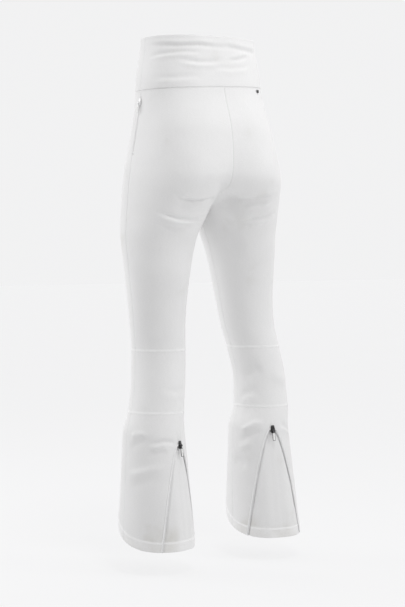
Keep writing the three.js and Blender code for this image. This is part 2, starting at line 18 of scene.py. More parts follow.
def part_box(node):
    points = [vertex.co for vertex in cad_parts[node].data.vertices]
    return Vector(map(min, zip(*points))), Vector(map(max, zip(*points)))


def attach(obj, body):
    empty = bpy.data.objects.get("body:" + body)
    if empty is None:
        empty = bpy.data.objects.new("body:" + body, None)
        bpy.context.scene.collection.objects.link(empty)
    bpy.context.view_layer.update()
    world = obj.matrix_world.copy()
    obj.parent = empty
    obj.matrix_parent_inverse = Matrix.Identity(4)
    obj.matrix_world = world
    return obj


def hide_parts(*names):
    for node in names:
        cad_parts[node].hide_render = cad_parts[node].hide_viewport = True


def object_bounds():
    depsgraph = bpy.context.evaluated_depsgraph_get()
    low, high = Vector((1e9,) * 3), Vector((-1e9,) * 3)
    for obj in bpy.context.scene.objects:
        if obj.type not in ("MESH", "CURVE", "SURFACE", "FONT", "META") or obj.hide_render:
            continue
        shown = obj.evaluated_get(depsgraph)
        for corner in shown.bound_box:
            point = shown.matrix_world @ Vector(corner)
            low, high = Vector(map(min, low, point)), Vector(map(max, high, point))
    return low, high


bl_info = {
    "name": "Flared Ski Trousers",
    "version": (1, 0, 0),
    "blender": (4, 5, 0),
    "location": "3D View > Sidebar > Trousers",
    "description": "Dresses the solid trousers in stretch cloth, stitching, zips and snaps",
    "category": "Object",
}

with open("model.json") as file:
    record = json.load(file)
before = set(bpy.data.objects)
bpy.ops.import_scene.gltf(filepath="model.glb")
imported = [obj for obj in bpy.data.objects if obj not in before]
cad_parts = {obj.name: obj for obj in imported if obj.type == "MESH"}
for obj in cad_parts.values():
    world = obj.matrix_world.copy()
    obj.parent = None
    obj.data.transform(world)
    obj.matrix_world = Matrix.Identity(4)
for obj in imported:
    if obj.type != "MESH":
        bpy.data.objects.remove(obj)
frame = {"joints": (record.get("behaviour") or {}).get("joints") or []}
CAD_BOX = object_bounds()

MM = 0.001
SIDES = ("left", "right")

# Heights, measured down from the top edge of the waistband, in millimetres as all sizes here are.
WAIST_SEAM, CROTCH, KNEE_TOP, KNEE_BOTTOM, CALF, HEM = -106, -365, -658, -787, -834, -1070
ZIP_TOP = {"left": -853, "right": -836}
HEM_RISE = 78
HEM_ZIP = {"left": 111, "right": 97}
VENT_SPREAD = {"left": 43, "right": 51}
VENT_CURVE = 0.56
SEAM = 0.1
HEM_TURNING = 19  # height of the hem's stitching above the hem

# Stations of the worn shape: height, middle x and y, half width, depth to the front and to the
# back, squareness. The same numbers shape the solid parts.
TORSO = [
    (0, 0, 0, 128, 92, 94, 2.15),
    (WAIST_SEAM, 0, 2, 142, 94, 104, 2.2),
    (-200, 34, 5, 122, 84, 130, 2.2),
    (-285, 65, 5, 105, 90, 141, 2.2),
    (CROTCH, 88, 4, 88, 87, 110, 2.15),
    (-424, 101, 4, 78, 81, 87, 2.05),
]
LEG = [
    (-490, 69, 74, 72),
    (-556, 62, 68, 62),
    (-622, 58, 64, 58),
    (KNEE_TOP, 57, 62, 58),
    (-735, 57, 59, 60),
    (KNEE_BOTTOM, 59, 59, 63),
    (CALF, 65, 66, 68),
    (HEM, 81, 87, 86),
]
STANCE = {
    "left": [(104, 7), (100, 0), (94, -7), (91, -10), (99, 0), (109, 8), (119, 16), (121, 31)],
    "right": [(117, -4), (128, -10), (143, -15), (154, -15), (167, -9), (166, -3), (155, 4), (164, 10)],
}


def stations_of(side):
    leg = [(z, x, y, out, front, back, 2) for (z, out, front, back), (x, y) in zip(LEG, STANCE[side])]
    return np.array(TORSO + leg, float)


def slopes_of(table):
    """Slope of every station value, level where the value turns round."""
    rise = np.diff(table[:, 1:], axis=0) / np.diff(table[:, :1], axis=0)
    slopes = np.zeros((len(table), 6))
    before, after = rise[:-1], rise[1:]
    both = before + after
    turning = before * after <= 0
    slopes[1:-1] = np.where(turning, 0, 2 * before * after / np.where(both == 0, 1, both))
    return slopes


STATIONS = {side: stations_of(side) for side in SIDES}
SLOPES = {side: slopes_of(STATIONS[side]) for side in SIDES}


def section(side, z):
    """x, y, out, front, back and square of the section at each height."""
    table, slopes = STATIONS[side], SLOPES[side]
    z = np.asarray(z, float)
    i = np.clip(np.searchsorted(-table[:, 0], -z), 1, len(table) - 1)
    a, b = table[i - 1], table[i]
    span = (b[..., 0] - a[..., 0])[..., None]
    t = (z[..., None] - a[..., :1]) / span
    smooth = (
        a[..., 1:] * (2 * t**3 - 3 * t**2 + 1)
        + b[..., 1:] * (3 * t**2 - 2 * t**3)
        + slopes[i - 1] * span * (t**3 - 2 * t**2 + t)
        + slopes[i] * span * (t**3 - t**2)
    )
    line = a[..., 1:] + (b[..., 1:] - a[..., 1:]) * t
    straight = (z < CALF) | (i == len(table) - 1)
    return np.moveaxis(np.where(straight[..., None], line, smooth), -1, 0)


def smoothstep(t):
    t = np.clip(t, 0, 1)
    return t * t * (3 - 2 * t)


BRIDGE = 26  # the cloth spans the cleft between the two sides, this far either way


def outline(side, z, angle):
    """x and y of a section at an angle. Above the crotch the cloth bridges the middle smoothly."""
    x0, y0, out, front, back, square = section(side, z)
    c, s = np.cos(np.radians(angle)), np.sin(np.radians(angle))
    x = x0 + out * np.sign(c) * np.abs(c) ** (2 / square)
    deep = np.where(s > 0, back, -front)
    y = y0 + deep * np.abs(s) ** (2 / square)
    span = BRIDGE * smoothstep((z - CROTCH) / 60) * (1 - smoothstep((np.abs(x) - 15) / 60))
    share = np.clip(np.abs((np.hypot(x, span) - x0) / out), 0, 1)
    bridged = y0 + deep * (1 - share**square) ** (1 / square)
    return x, np.where(span > 0.01, bridged, y)


WAIST_TILT = -0.045  # the waist seam drops towards the wearer's left


def tilt(z):
    above, below = smoothstep(z / WAIST_SEAM), smoothstep((z - 2.4 * WAIST_SEAM) / (-1.4 * WAIST_SEAM))
    return WAIST_TILT * np.where(z > WAIST_SEAM, above, below)


def surface(side, z, angle, depth=0.0):
    """Points of the trousers in metres: side, height, angle round the section, depth inwards."""
    z, angle = np.broadcast_arrays(np.asarray(z, float), np.asarray(angle, float))
    x, y = outline(side, z, angle)
    ax, ay = outline(side, z, angle - 1.5)
    bx, by = outline(side, z, angle + 1.5)
    along = np.hypot(bx - ax, by - ay)
    nx, ny = (by - ay) / along, -(bx - ax) / along
    sign = 1 if side == "left" else -1
    across = sign * (x - nx * depth)
    return np.stack([across, y - ny * depth, z + tilt(z) * across], -1) * MM


def degrees_for(side, z, width):
    _, _, out, front, back, _ = section(side, z)
    return np.degrees(width / ((out + (front + back) / 2) / 2))


def middle_angle(side, z, distance):
    x0, _, out, _, _, square = section(side, z)
    share = (x0 - distance) / out
    cosine = np.minimum(1, np.abs(share)) ** (square / 2) * np.where(share > 0, -1, 1)
    inseam = 180 - degrees_for(side, z, SEAM / 2)
    return np.minimum(inseam, np.degrees(np.arccos(cosine)))


def hem_height(angle):
    return HEM + HEM_RISE * (0.5 - 0.5 * np.sin(np.radians(angle))) ** 2


def vent_spread(side, z):
    return VENT_SPREAD[side] * np.maximum(0, (ZIP_TOP[side] - z) / (ZIP_TOP[side] - HEM)) ** VENT_CURVE


# ---- Folds ----
# Each fold is (side, height of the fold in mm, half width in mm, lip, points), where the points are
# (angle, height) pairs along it. A negative fold is a crease. A lip of 1 swells the cloth above the
# crease and -1 below it.
FOLDS = [
    # waistband, creased where the back arches
    ("left", -2.8, 4.6, 1, [(0, -18), (26, -20), (50, -22), (68, -20), (84, -22), (100, -25)]),
    ("left", -2.8, 4.2, -1, [(6, -44), (20, -39), (36, -36), (52, -34), (74, -35)]),
    ("left", -3.0, 4.6, -1, [(44, -47), (56, -52), (69, -55), (82, -54), (94, -46)]),
    ("right", -2.2, 5.4, 1, [(98, -19), (80, -22), (62, -26), (44, -26), (20, -20)]),
    ("right", -2.2, 4.4, 1, [(86, -52), (72, -46), (54, -36)]),
    ("right", -1.6, 4.8, -1, [(98, -67), (82, -67), (68, -63), (54, -56)]),
    ("left", -1.8, 5.4, -1, [(16, -83), (45, -85), (74, -82)]),
    ("right", -2.0, 5.0, 1, [(30, -48), (8, -54), (-20, -50)]),
    ("left", -2.0, 5.0, 1, [(-6, -58), (-26, -52), (-50, -56)]),
    # under the left buttock
    ("left", -6.0, 20.0, 0, [(60, -346), (90, -356), (125, -352), (150, -356)]),
    ("left", -6.6, 4.8, 1, [(56, -328), (72, -341), (90, -348), (107, -347), (122, -341), (140, -346)]),
    ("left", 5.0, 6.5, 0, [(74, -355), (92, -360), (112, -360), (126, -352)]),
    ("left", -4.6, 4.6, -1, [(40, -366), (58, -374), (76, -381), (94, -384), (117, -381), (140, -376)]),
    ("left", 2.6, 5.6, 0, [(52, -384), (76, -392), (104, -390), (124, -386)]),
    ("left", -2.0, 5.0, -1, [(52, -394), (80, -404), (108, -398)]),
    # under the right buttock
    ("right", -8.0, 20.0, 0, [(160, -352), (135, -350), (105, -350), (72, -346)]),
    ("right", -5.5, 6.5, 1, [(162, -352), (142, -344), (120, -344), (98, -341), (72, -334), (56, -328)]),
    ("right", 4.6, 6.0, 0, [(114, -358), (92, -353), (72, -347)]),
    ("right", -4.8, 4.8, -1, [(124, -388), (104, -384), (84, -377), (68, -371), (54, -368)]),
    ("right", 2.4, 5.6, 0, [(112, -396), (92, -390), (70, -382)]),
    ("right", -7.0, 17.0, 0, [(152, -356), (140, -390), (134, -440), (132, -480)]),
    ("right", -7.5, 15.0, 0, [(172, -296), (152, -324), (134, -340), (112, -346)]),
    # behind and beside the knees
    ("left", -1.4, 8.0, -1, [(60, -736), (100, -744), (140, -736)]),
    ("right", -3.4, 13.0, 0, [(160, -730), (135, -712), (112, -700)]),
    ("right", 3.4, 15.0, 0, [(100, -716), (72, -728), (40, -742)]),
    ("right", -2.6, 9.0, -1, [(176, -770), (150, -758), (128, -752)]),
    # calves, where the cloth drops onto the boots
    ("left", 4.2, 6.5, 0, [(12, -842), (24, -831), (40, -830), (48, -834)]),
    ("left", -1.5, 7.0, 0, [(8, -862), (26, -850), (42, -842), (54, -838)]),
    ("left", -4.0, 5.0, -1, [(44, -851), (60, -847), (76, -844), (92, -846), (106, -853)]),
    ("left", 2.8, 6.0, 0, [(50, -862), (70, -858), (92, -862)]),
    ("left", -1.4, 7.0, 0, [(46, -876), (64, -864), (82, -858)]),
    ("left", 4.0, 8.5, 0, [(4, -914), (28, -911), (52, -903), (80, -890)]),
    ("left", -1.5, 10.0, 0, [(6, -942), (36, -930), (58, -920), (76, -912)]),
    ("right", 5.0, 6.5, 0, [(164, -840), (148, -833), (130, -824), (114, -819)]),
    ("right", -2.0, 7.0, 0, [(166, -862), (148, -854), (130, -844), (112, -838)]),
    ("right", 2.6, 8.0, 0, [(168, -880), (150, -872), (134, -862)]),
    ("right", -3.0, 6.5, -1, [(84, -824), (62, -833), (36, -846)]),
    ("right", -2.8, 11.0, 0, [(178, -904), (160, -908), (148, -922)]),
    # front of the hips, knees and insteps
    ("left", -4.0, 7.0, 1, [(-48, -318), (-70, -336), (-98, -352), (-130, -364)]),
    ("left", -3.0, 6.5, -1, [(-40, -352), (-66, -368), (-98, -382), (-124, -386)]),
    ("right", -4.0, 7.0, 1, [(-50, -314), (-76, -334), (-104, -352), (-130, -362)]),
    ("right", -3.2, 6.5, -1, [(-40, -346), (-66, -360), (-98, -374), (-122, -380)]),
    ("left", -2.6, 8.0, 1, [(-40, -690), (-80, -700), (-130, -692)]),
    ("right", -3.0, 8.0, 1, [(-50, -684), (-84, -694), (-130, -688)]),
    ("left", -4.2, 9.0, 1, [(-28, -926), (-58, -940), (-90, -948), (-140, -934)]),
    ("right", -4.6, 9.0, 1, [(-34, -912), (-64, -926), (-94, -932), (-150, -916)]),
    ("left", -3.2, 9.0, -1, [(-44, -872), (-90, -882), (-132, -868)]),
    ("right", -3.4, 9.0, -1, [(-44, -862), (-90, -874), (-132, -860)]),
]


def along_path(side, points, step=4.0):
    """A path of (angle, height) pairs as surface points about step apart, and how far along each is."""
    angles, heights = np.array(points, float).T
    marks = surface(side, heights, angles) / MM
    run = np.concatenate([[0], np.cumsum(np.linalg.norm(np.diff(marks, axis=0), axis=1))])
    at = np.linspace(0, run[-1], max(3, int(run[-1] / step) + 1))
    return np.interp(at, run, heights), np.interp(at, run, angles), at / run[-1]


def fold_lines():
    lines = []
    for side, height, width, lip, points in FOLDS:
        z, angle, share = along_path(side, points)
        fade = smoothstep(np.minimum(share, 1 - share) / 0.35)
        lines.append((surface(side, z, angle) / MM, height, width, lip, fade))
    return lines


FOLD_LINES = fold_lines()


def unevenness(p):
    """Slow, slight swelling of worn cloth, in millimetres."""
    x, y, z = p[:, 0], p[:, 1], p[:, 2]
    broad = np.sin(x / 31 + z / 47 + 1.3) * np.sin(y / 29 - z / 61 + 0.4)
    fine = np.sin(x / 13 - z / 19 + y / 17) * np.sin(z / 15 + y / 11 + 2.1)
    return 0.35 * broad + 0.12 * fine


def above_hem(p):
    """Height of each point above the hem line, in millimetres."""
    height = np.full(len(p), 1000.0)
    low = p[:, 2] < CALF
    for side, way in (("left", 1), ("right", -1)):
        pick = np.flatnonzero(low & (p[:, 0] * way > 0))
        x0, y0, out, front, back, _ = section(side, p[pick, 2])
        x, y = (p[pick, 0] * way - x0) / out, p[pick, 1] - y0
        angle = np.degrees(np.arctan2(y / np.where(y > 0, back, front), x))
        height[pick] = p[pick, 2] - hem_height(angle)
    return height


def raised_seam(p):
    """Where a sewn ridge stands up, from 0 to 1: beside the knee seams and along the hem's turning."""
    z = p[:, 2]
    ridge = np.zeros(len(p))
    for seam_height in (KNEE_TOP, KNEE_BOTTOM):
        ridge += 0.9 * np.exp(-(((z - seam_height) / 2.0) ** 2))
    lift = above_hem(p)
    return ridge + np.exp(-(((lift - HEM_TURNING) / 1.9) ** 2)) + 0.35 * smoothstep((20 - lift) / 3)


def fold_height(points):
    """How far the cloth stands out at each point, in millimetres. The points are in metres."""
    p = np.asarray(points).reshape(-1, 3) / MM
    total = unevenness(p) + 0.75 * raised_seam(p)
    for line, height, width, lip, fade in FOLD_LINES:
        reach = 4 * width
        low, high = line.min(0) - reach, line.max(0) + reach
        near = np.flatnonzero(((p > low) & (p < high)).all(1))
        if not len(near):
            continue
        gap = np.linalg.norm(p[near, None] - line[None], axis=2)
        best = gap.argmin(1)
        d = gap[np.arange(len(near)), best] / width
        made = np.exp(-d * d)
        if lip:
            rise = (p[near, 2] - line[best, 2]) * lip / width
            beside = np.sqrt(np.maximum(0, d * d - rise * rise))
            made = made - 0.75 * np.exp(-(((rise - 1.6) / 1.3) ** 2) - beside**2)
        total[near] += height * fade[best] * made
    return total.reshape(np.shape(points)[:-1])


# ---- Cloth ----
SEAM_STEPS = [0, 0.7, 1.5, 2.6, 4.2]  # distances from a seam where its rolled edge needs points


def spaced(length, step, extra=()):
    """Shares of a length: close together at both ends, step apart between, and at extra places."""
    steps = np.array(SEAM_STEPS)
    count = max(1, round((length - 2 * steps[-1]) / step))
    inner = np.linspace(steps[-1], length - steps[-1], count + 1)
    inner = [v for v in inner if all(abs(v - e) > 1.5 for e in extra)]
    return np.unique(np.concatenate([steps, inner, length - steps, list(extra)])) / length


def arc(side, z, start, end):
    """Length of a section between two angles, in millimetres."""
    angles = np.linspace(start, end, 40)
    return np.linalg.norm(np.diff(surface(side, z, angles), axis=0), axis=1).sum() / MM


def mix(a, b, t):
    return a + (b - a) * t


def sheet_grid(side, z, angle, depth=0.0):
    """Points and flat pattern positions of a grid of heights and angles."""
    points = surface(side, z, angle, depth)
    across = np.linalg.norm(np.diff(points, axis=1), axis=2)
    down = np.linalg.norm(np.diff(points, axis=0), axis=2).mean(1)
    u = np.concatenate([np.zeros((len(points), 1)), np.cumsum(across, axis=1)], axis=1)
    v = -np.concatenate([[0], np.cumsum(down)])[:, None] + np.zeros_like(u)
    return points, np.stack([u, v], -1)


def mesh_from_grids(name, grids, flipped):
    """One mesh of several grids, joined where their edges meet, with its pattern as a UV map."""
    bm = bmesh.new()
    layer = bm.loops.layers.uv.new("Pattern")
    for points, pattern in grids:
        rows, cols = points.shape[:2]
        verts = [bm.verts.new(p) for p in points.reshape(-1, 3)]
        for i in range(rows - 1):
            for j in range(cols - 1):
                ring = [(i, j), (i + 1, j), (i + 1, j + 1), (i, j + 1)]
                if flipped:
                    ring.reverse()
                face = bm.faces.new([verts[a * cols + b] for a, b in ring])
                face.smooth = True
                for loop, (a, b) in zip(face.loops, ring):
                    loop[layer].uv = pattern[a, b]
    bmesh.ops.remove_doubles(bm, verts=bm.verts, dist=0.00003)
    mesh = bpy.data.meshes.new(name)
    bm.to_mesh(mesh)
    bm.free()
    return mesh


def edge_distance(mesh, co):
    """Distance of every point from the sheet's rim, in millimetres."""
    uses = {}
    for face in mesh.polygons:
        for key in face.edge_keys:
            uses[key] = uses.get(key, 0) + 1
    rim = {v for key, n in uses.items() if n == 1 for v in key}
    tree = KDTree(len(rim))
    for v in rim:
        tree.insert(co[v], v)
    tree.balance()
    return np.array([tree.find(c)[2] for c in co]) / MM


def settle(mesh, roll):
    """Lays the folds into a flat-laid sheet and rolls its rim inwards."""
    count = len(mesh.vertices)
    co = np.empty(count * 3)
    mesh.vertices.foreach_get("co", co)
    co = co.reshape(-1, 3)
    normals = np.array([tuple(n.vector) for n in mesh.vertex_normals])
    d = edge_distance(mesh, co)
    z = co[:, 2] / MM
    level = np.minimum(np.abs(z - KNEE_TOP), np.abs(z - KNEE_BOTTOM)) < d + 0.5
    rim = np.where(level, 0.1, 1) * roll * (np.exp(-((d / 1.3) ** 2)) + 0.35 * np.exp(-((d / 5.5) ** 2)))
    # The raised-seam mask is kept on the mesh for the cloth's colour, which paints a highlight along the
    # ridges.
    raised_seam_highlight = mesh.attributes.new("RaisedSeamHighlight", "FLOAT", "POINT")
    raised_seam_highlight.data.foreach_set("value", np.clip(raised_seam(co / MM), 0, 1))
    co += normals * ((fold_height(co) - rim) * MM)[:, None]
    mesh.vertices.foreach_set("co", co.ravel())
    mesh.update()


def cloth(node, side, grids, thickness, material, slot, roll=0.4):
    """A finished sheet of cloth that stands for a CAD node."""
    mesh = mesh_from_grids(f"{node}_cloth", grids, side == "right")
    settle(mesh, roll)
    obj = bpy.data.objects.new(mesh.name, mesh)
    bpy.context.scene.collection.objects.link(obj)
    solid = obj.modifiers.new("Thickness", "SOLIDIFY")
    solid.thickness = thickness * MM
    solid.offset = -1
    solid.use_quality_normals = True
    obj.data.materials.append(material)
    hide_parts(node)
    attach(obj, "trousers")
    return obj


def finish_piece(obj, material, slot, body, *nodes):
    """Gives a finished hard piece its material and its body, and hides the nodes it stands for."""
    obj.data.materials.clear()
    obj.data.materials.append(material)
    if nodes:
        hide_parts(*nodes)
    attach(obj, body)
    return obj


# ---- Pieces of cloth ----
EDGE = 0.01  # half of the seam between two pieces, in millimetres
SHELL, TAPE, LINING, LAYER_GAP = 1.0, 0.6, 0.7, 0.9
TAPE_DEPTH = SHELL + LAYER_GAP
GUSSET_DEPTH = TAPE_DEPTH + TAPE + LAYER_GAP
COIL_WIDTH, TAPE_WIDTH = 2.4, 9
HIDDEN_COIL_DEPTH = TAPE_DEPTH + TAPE + 0.9  # middle of the coils behind the pocket and fly tapes
SHIELD_DEPTH = HIDDEN_COIL_DEPTH + 1.5
VENT_LIP = COIL_WIDTH + 2.2
FLY_TOP, FLY_BOTTOM, FLY_OPEN = WAIST_SEAM - 4, -232, 1.4
POCKET_TOP, POCKET_BOTTOM, POCKET_OPEN = -122, -242, 0.2
OVERLAP_PAST_CENTRE, OVERLAP_BACK = 26, 12
OVERLAP_DEPTH = -1.3  # the lapped end lies outside the waistband
OVERLAP_INSET = 2.5  # from the lapped end's edges to its stitching


def inseam(side, z):
    return 180 - degrees_for(side, z, EDGE)


def seam(side, z):
    return degrees_for(side, z, EDGE)


def opened(z, low, high, width):
    """Half width of a seam that a zip parts between two heights, easing over a millimetre at each end."""
    share = smoothstep((z - low) / 1.2) * smoothstep((high - z) / 1.2)
    return mix(EDGE, width, share)


def pocket_edge(side, z):
    return degrees_for(side, z, opened(z, POCKET_BOTTOM, POCKET_TOP, POCKET_OPEN))


def fly_edge(side, z):
    return -middle_angle(side, z, opened(z, FLY_BOTTOM, 0, FLY_OPEN))


def vent_edge(side, z, way, extra):
    return HEM_ZIP[side] + way * (vent_spread(side, z) + degrees_for(side, z, extra))


def rows_between(top, bottom, step, fine=(), fine_step=2.6, extra=()):
    """Heights from top to bottom, close together at the seams and within the fine ranges."""
    length = top - bottom
    rows = [top - length * s for s in spaced(length, step)]
    for high, low in fine:
        inside = np.arange(high, low, -fine_step)
        rows = [z for z in rows if not low - 1 < z < high + 1] + list(inside)
    return np.array(sorted({round(float(z), 3) for z in [*rows, *extra]}, reverse=True))


def strip_grid(side, heights, start, end, columns, depth=0.0):
    """A grid between two edges, each given as an angle at a height."""
    z = np.asarray(heights, float)[:, None] + np.zeros((1, len(columns)))
    angle = mix(start(z), end(z), np.asarray(columns)[None])
    return sheet_grid(side, z, angle, depth)


def hem_grid(side, top, rows, start, end, columns, depth=0.0):
    """A grid whose lowest row follows the hem. rows are shares of the way down to it."""
    shares = np.asarray(columns)[None]
    foot = hem_height(mix(start(HEM), end(HEM), shares))
    z = mix(top, foot, np.asarray(rows)[:, None])
    angle = mix(start(z), end(z), shares)
    return sheet_grid(side, z, angle, depth(z, angle) if callable(depth) else depth)


VENT_START = 0.0188  # share of the vent's length at which its cloth starts under the slider


def with_hem_band(rows, length):
    """Shares down a leg, from distances in millimetres, with close rows over the hem's turning."""
    band = length - np.arange(14.6, 24, 1.1)
    last = length - SEAM_STEPS[-1]
    apart = [r for r in rows if not band.min() - 0.8 < r < band.max() + 0.8 and not last < r < length - 0.01]
    return np.unique(np.round(np.concatenate([apart, band, length - np.array(SEAM_STEPS)]), 4)) / length


def upper_panels(side, shell):
    tops = rows_between(
        WAIST_SEAM - EDGE,
        KNEE_TOP + EDGE,
        5.0,
        fine=[(-312, -408)],
        extra=[z + d for z in (POCKET_TOP, POCKET_BOTTOM, FLY_BOTTOM) for d in (-1.6, -0.6, 0.4, 1.4)],
    )
    edges = {
        "front": (lambda z: fly_edge(side, z), lambda z: -pocket_edge(side, z)),
        "back": (lambda z: pocket_edge(side, z), lambda z: middle_angle(side, z, EDGE)),
    }
    for name, (start, end) in edges.items():
        columns = spaced(arc(side, -285, 0, 150), 3.8)
        grid = strip_grid(side, tops, start, end, columns)
        cloth(f"{name}_panel_{side}", side, [grid], SHELL, shell, "softshell", roll=0.6)


def knee_panels(side, shell):
    rows = rows_between(KNEE_TOP - EDGE, KNEE_BOTTOM + EDGE, 3.6)
    columns = spaced(arc(side, -720, 0, 180), 3.6)
    ends = {
        "front": (lambda z: -inseam(side, z), lambda z: -seam(side, z)),
        "back": (lambda z: seam(side, z), lambda z: inseam(side, z)),
    }
    for name, (start, end) in ends.items():
        grid = strip_grid(side, rows, start, end, columns)
        cloth(f"knee_{name}_{side}", side, [grid], SHELL, shell, "softshell")


def shin_panel(side, shell):
    length = KNEE_BOTTOM - HEM
    rows = with_hem_band(spaced(length, 3.6) * length, length)
    columns = spaced(arc(side, -900, 0, 180), 3.6)
    start, end = (lambda z: -inseam(side, z)), (lambda z: -seam(side, z))
    grid = hem_grid(side, KNEE_BOTTOM - EDGE, rows, start, end, columns)
    cloth(f"shin_panel_{side}", side, [grid], SHELL, shell, "softshell")


def calf_panel(side, shell):
    """The calf cloth, whole above the vent and in two wings beside it."""
    vent_top = ZIP_TOP[side] + 3
    side_edge, inner_edge = (lambda z: seam(side, z)), (lambda z: inseam(side, z))
    near, far = (lambda z: vent_edge(side, z, -1, VENT_LIP)), (lambda z: vent_edge(side, z, 1, VENT_LIP))
    outer = spaced(arc(side, vent_top, 0, near(vent_top)), 2.8)
    inner = spaced(arc(side, vent_top, far(vent_top), 180), 2.8)
    middle = np.linspace(0, 1, 6)
    heights = rows_between(KNEE_BOTTOM - EDGE, vent_top, 2.8)
    z = heights[:, None]
    angle = np.concatenate(
        [
            mix(side_edge(z), near(vent_top) + 0 * z, outer[None]),
            mix(near(vent_top) + 0 * z, far(vent_top) + 0 * z, middle[None, 1:-1]),
            mix(far(vent_top) + 0 * z, inner_edge(z), inner[None]),
        ],
        axis=1,
    )
    length = vent_top - HEM
    curve = np.linspace(0, 1, 92) ** 1.35
    rows = with_hem_band(np.concatenate([curve * length, length - np.array(SEAM_STEPS)]), length)
    grids = [
        sheet_grid(side, z + 0 * angle, angle),
        hem_grid(side, vent_top, rows, side_edge, near, outer),
        hem_grid(side, vent_top, rows, far, inner_edge, inner),
    ]
    across, down = grids[0][1][-1], grids[0][1][-1, 0, 1]
    for _, pattern in grids[1:]:
        pattern[..., 1] += down
    grids[2][1][..., 0] += across[len(outer) + len(middle) - 2, 0]
    cloth(f"calf_panel_{side}", side, grids, SHELL, shell, "softshell")


PUFF = 2.4  # how far the gusset stands up beside the teeth
SLIDER_LANE = 5.5  # half width of the flat lane that the slider runs down


def vent_gusset(side, shell):
    length = ZIP_TOP[side] - HEM
    rows = with_hem_band(np.arange(VENT_START * length, length, 3.6), length)
    start, end = [lambda z, way=way: vent_edge(side, z, way, TAPE_WIDTH) for way in (-1, 1)]
    columns = spaced(arc(side, HEM, 50, 150), 3.6)

    def depth(z, angle):
        off = np.abs(angle - HEM_ZIP[side]) / degrees_for(side, z, 1.0)
        inside = vent_spread(side, z) / degrees_for(side, z, 1.0) - off
        return GUSSET_DEPTH - PUFF * smoothstep(inside / 3.0) * smoothstep((off - SLIDER_LANE) / 24)

    grid = hem_grid(side, ZIP_TOP[side], rows, start, end, columns, depth)
    cloth(f"vent_gusset_{side}", side, [grid], SHELL, shell, "softshell", roll=0.2)


def hem_facing(side, lining):
    clear = TAPE_WIDTH + 6
    start, end = vent_edge(side, HEM, 1, clear) - 360, vent_edge(side, HEM, -1, clear)
    angle = mix(start, end, np.linspace(0, 1, 130))[None] + np.zeros((6, 1))
    z = hem_height(angle) + np.linspace(20, 0, 6)[:, None]
    grid = sheet_grid(side, z, angle, TAPE_DEPTH)
    cloth(f"hem_facing_{side}", side, [grid], LINING, lining, "lining", roll=0)


def pocket_bag(side, lining):
    rows = rows_between(POCKET_TOP + 4, POCKET_BOTTOM - 55, 5.0)
    start, end = (lambda z: -degrees_for(side, z, 105)), (lambda z: -degrees_for(side, z, TAPE_WIDTH + 2))
    grid = strip_grid(side, rows, start, end, np.linspace(0, 1, 26), TAPE_DEPTH)
    cloth(f"pocket_bag_{side}", side, [grid], LINING, lining, "lining", roll=0.2)


def waistband(shell, lining):
    seam_at_waist = degrees_for("left", WAIST_SEAM, EDGE)
    rows = rows_between(0, WAIST_SEAM, 2.6)

    def band(node, start, end, thickness, material, slot, depth=0.0, heights=rows, roll=0.4):
        columns = spaced(arc("left", -50, start, end), 2.9)
        grid = strip_grid("left", heights, lambda z: start + 0 * z, lambda z: end + 0 * z, columns, depth)
        return cloth(node, "left", [grid], thickness, material, slot, roll=roll)

    band("waistband_back", seam_at_waist, 180 - seam_at_waist, SHELL, shell, "softshell")
    band("waistband_front_left", -90 + seam_at_waist, -seam_at_waist, SHELL, shell, "softshell")
    band("waistband_front_right", 180 + seam_at_waist, 270 - seam_at_waist, SHELL, shell, "softshell")
    facing_rows = rows_between(0, WAIST_SEAM, 4.0)
    band(
        "waistband_facing",
        -90 + seam_at_waist,
        270 - seam_at_waist,
        LINING,
        lining,
        "lining",
        TAPE_DEPTH,
        heights=facing_rows,
        roll=0.0,
    )
    lap = degrees_for("left", 0, 1.0)
    band(
        "waistband_overlap",
        -90 - OVERLAP_BACK * lap,
        -90 + OVERLAP_PAST_CENTRE * lap,
        SHELL,
        shell,
        "softshell",
        OVERLAP_DEPTH,
        heights=rows_between(-1, WAIST_SEAM + 1, 2.6),
        roll=0.5,
    )


def fly_shield(lining):
    rows = rows_between(WAIST_SEAM - 1, FLY_BOTTOM - 12, 5.0)

    def edge(width):
        return lambda z: -middle_angle("left", z, 0.0) + degrees_for("left", z, width)

    grid = strip_grid("left", rows, edge(0.5), edge(22), np.linspace(0, 1, 9), SHIELD_DEPTH)
    cloth("fly_shield", "left", [grid], LINING, lining, "lining", roll=0.0)


def zip_tapes(tape):
    """The woven tapes beside every zip."""

    def tape_strip(node, side, heights, start, end, make=strip_grid):
        grid = make(side, heights, start, end, np.linspace(0, 1, 6), TAPE_DEPTH)
        cloth(node, side, [grid], TAPE, tape, "zip_tape", roll=0.0)

    def down_vent(side, rows, start, end, columns, depth):
        return hem_grid(side, ZIP_TOP[side], rows, start, end, columns, depth)

    for side in SIDES:
        vent = np.linspace(1 / 12, 1, 80) ** 1.6
        for name, way in (("outer", -1), ("inner", 1)):
            near, far = (1, 1 + TAPE_WIDTH) if way > 0 else (1 + TAPE_WIDTH, 1)
            tape_strip(
                f"hem_zip_tape_{name}_{side}",
                side,
                vent,
                lambda z, way=way, w=near: vent_edge(side, z, way, w),
                lambda z, way=way, w=far: vent_edge(side, z, way, w),
                down_vent,
            )
        rows = np.linspace(POCKET_TOP - 1, POCKET_BOTTOM + 1, 30)
        for name, a, b in (("front", -TAPE_WIDTH, -0.2), ("back", 0.2, TAPE_WIDTH)):
            tape_strip(
                f"pocket_tape_{name}_{side}",
                side,
                rows,
                lambda z, w=a: degrees_for(side, z, w),
                lambda z, w=b: degrees_for(side, z, w),
            )
        tape_strip(
            f"fly_tape_{side}",
            side,
            np.linspace(FLY_TOP, FLY_BOTTOM + 1, 30),
            lambda z: -middle_angle("left", z, 0.0) + degrees_for(side, z, 0.2),
            lambda z: -middle_angle("left", z, 0.0) + degrees_for(side, z, TAPE_WIDTH),
        )


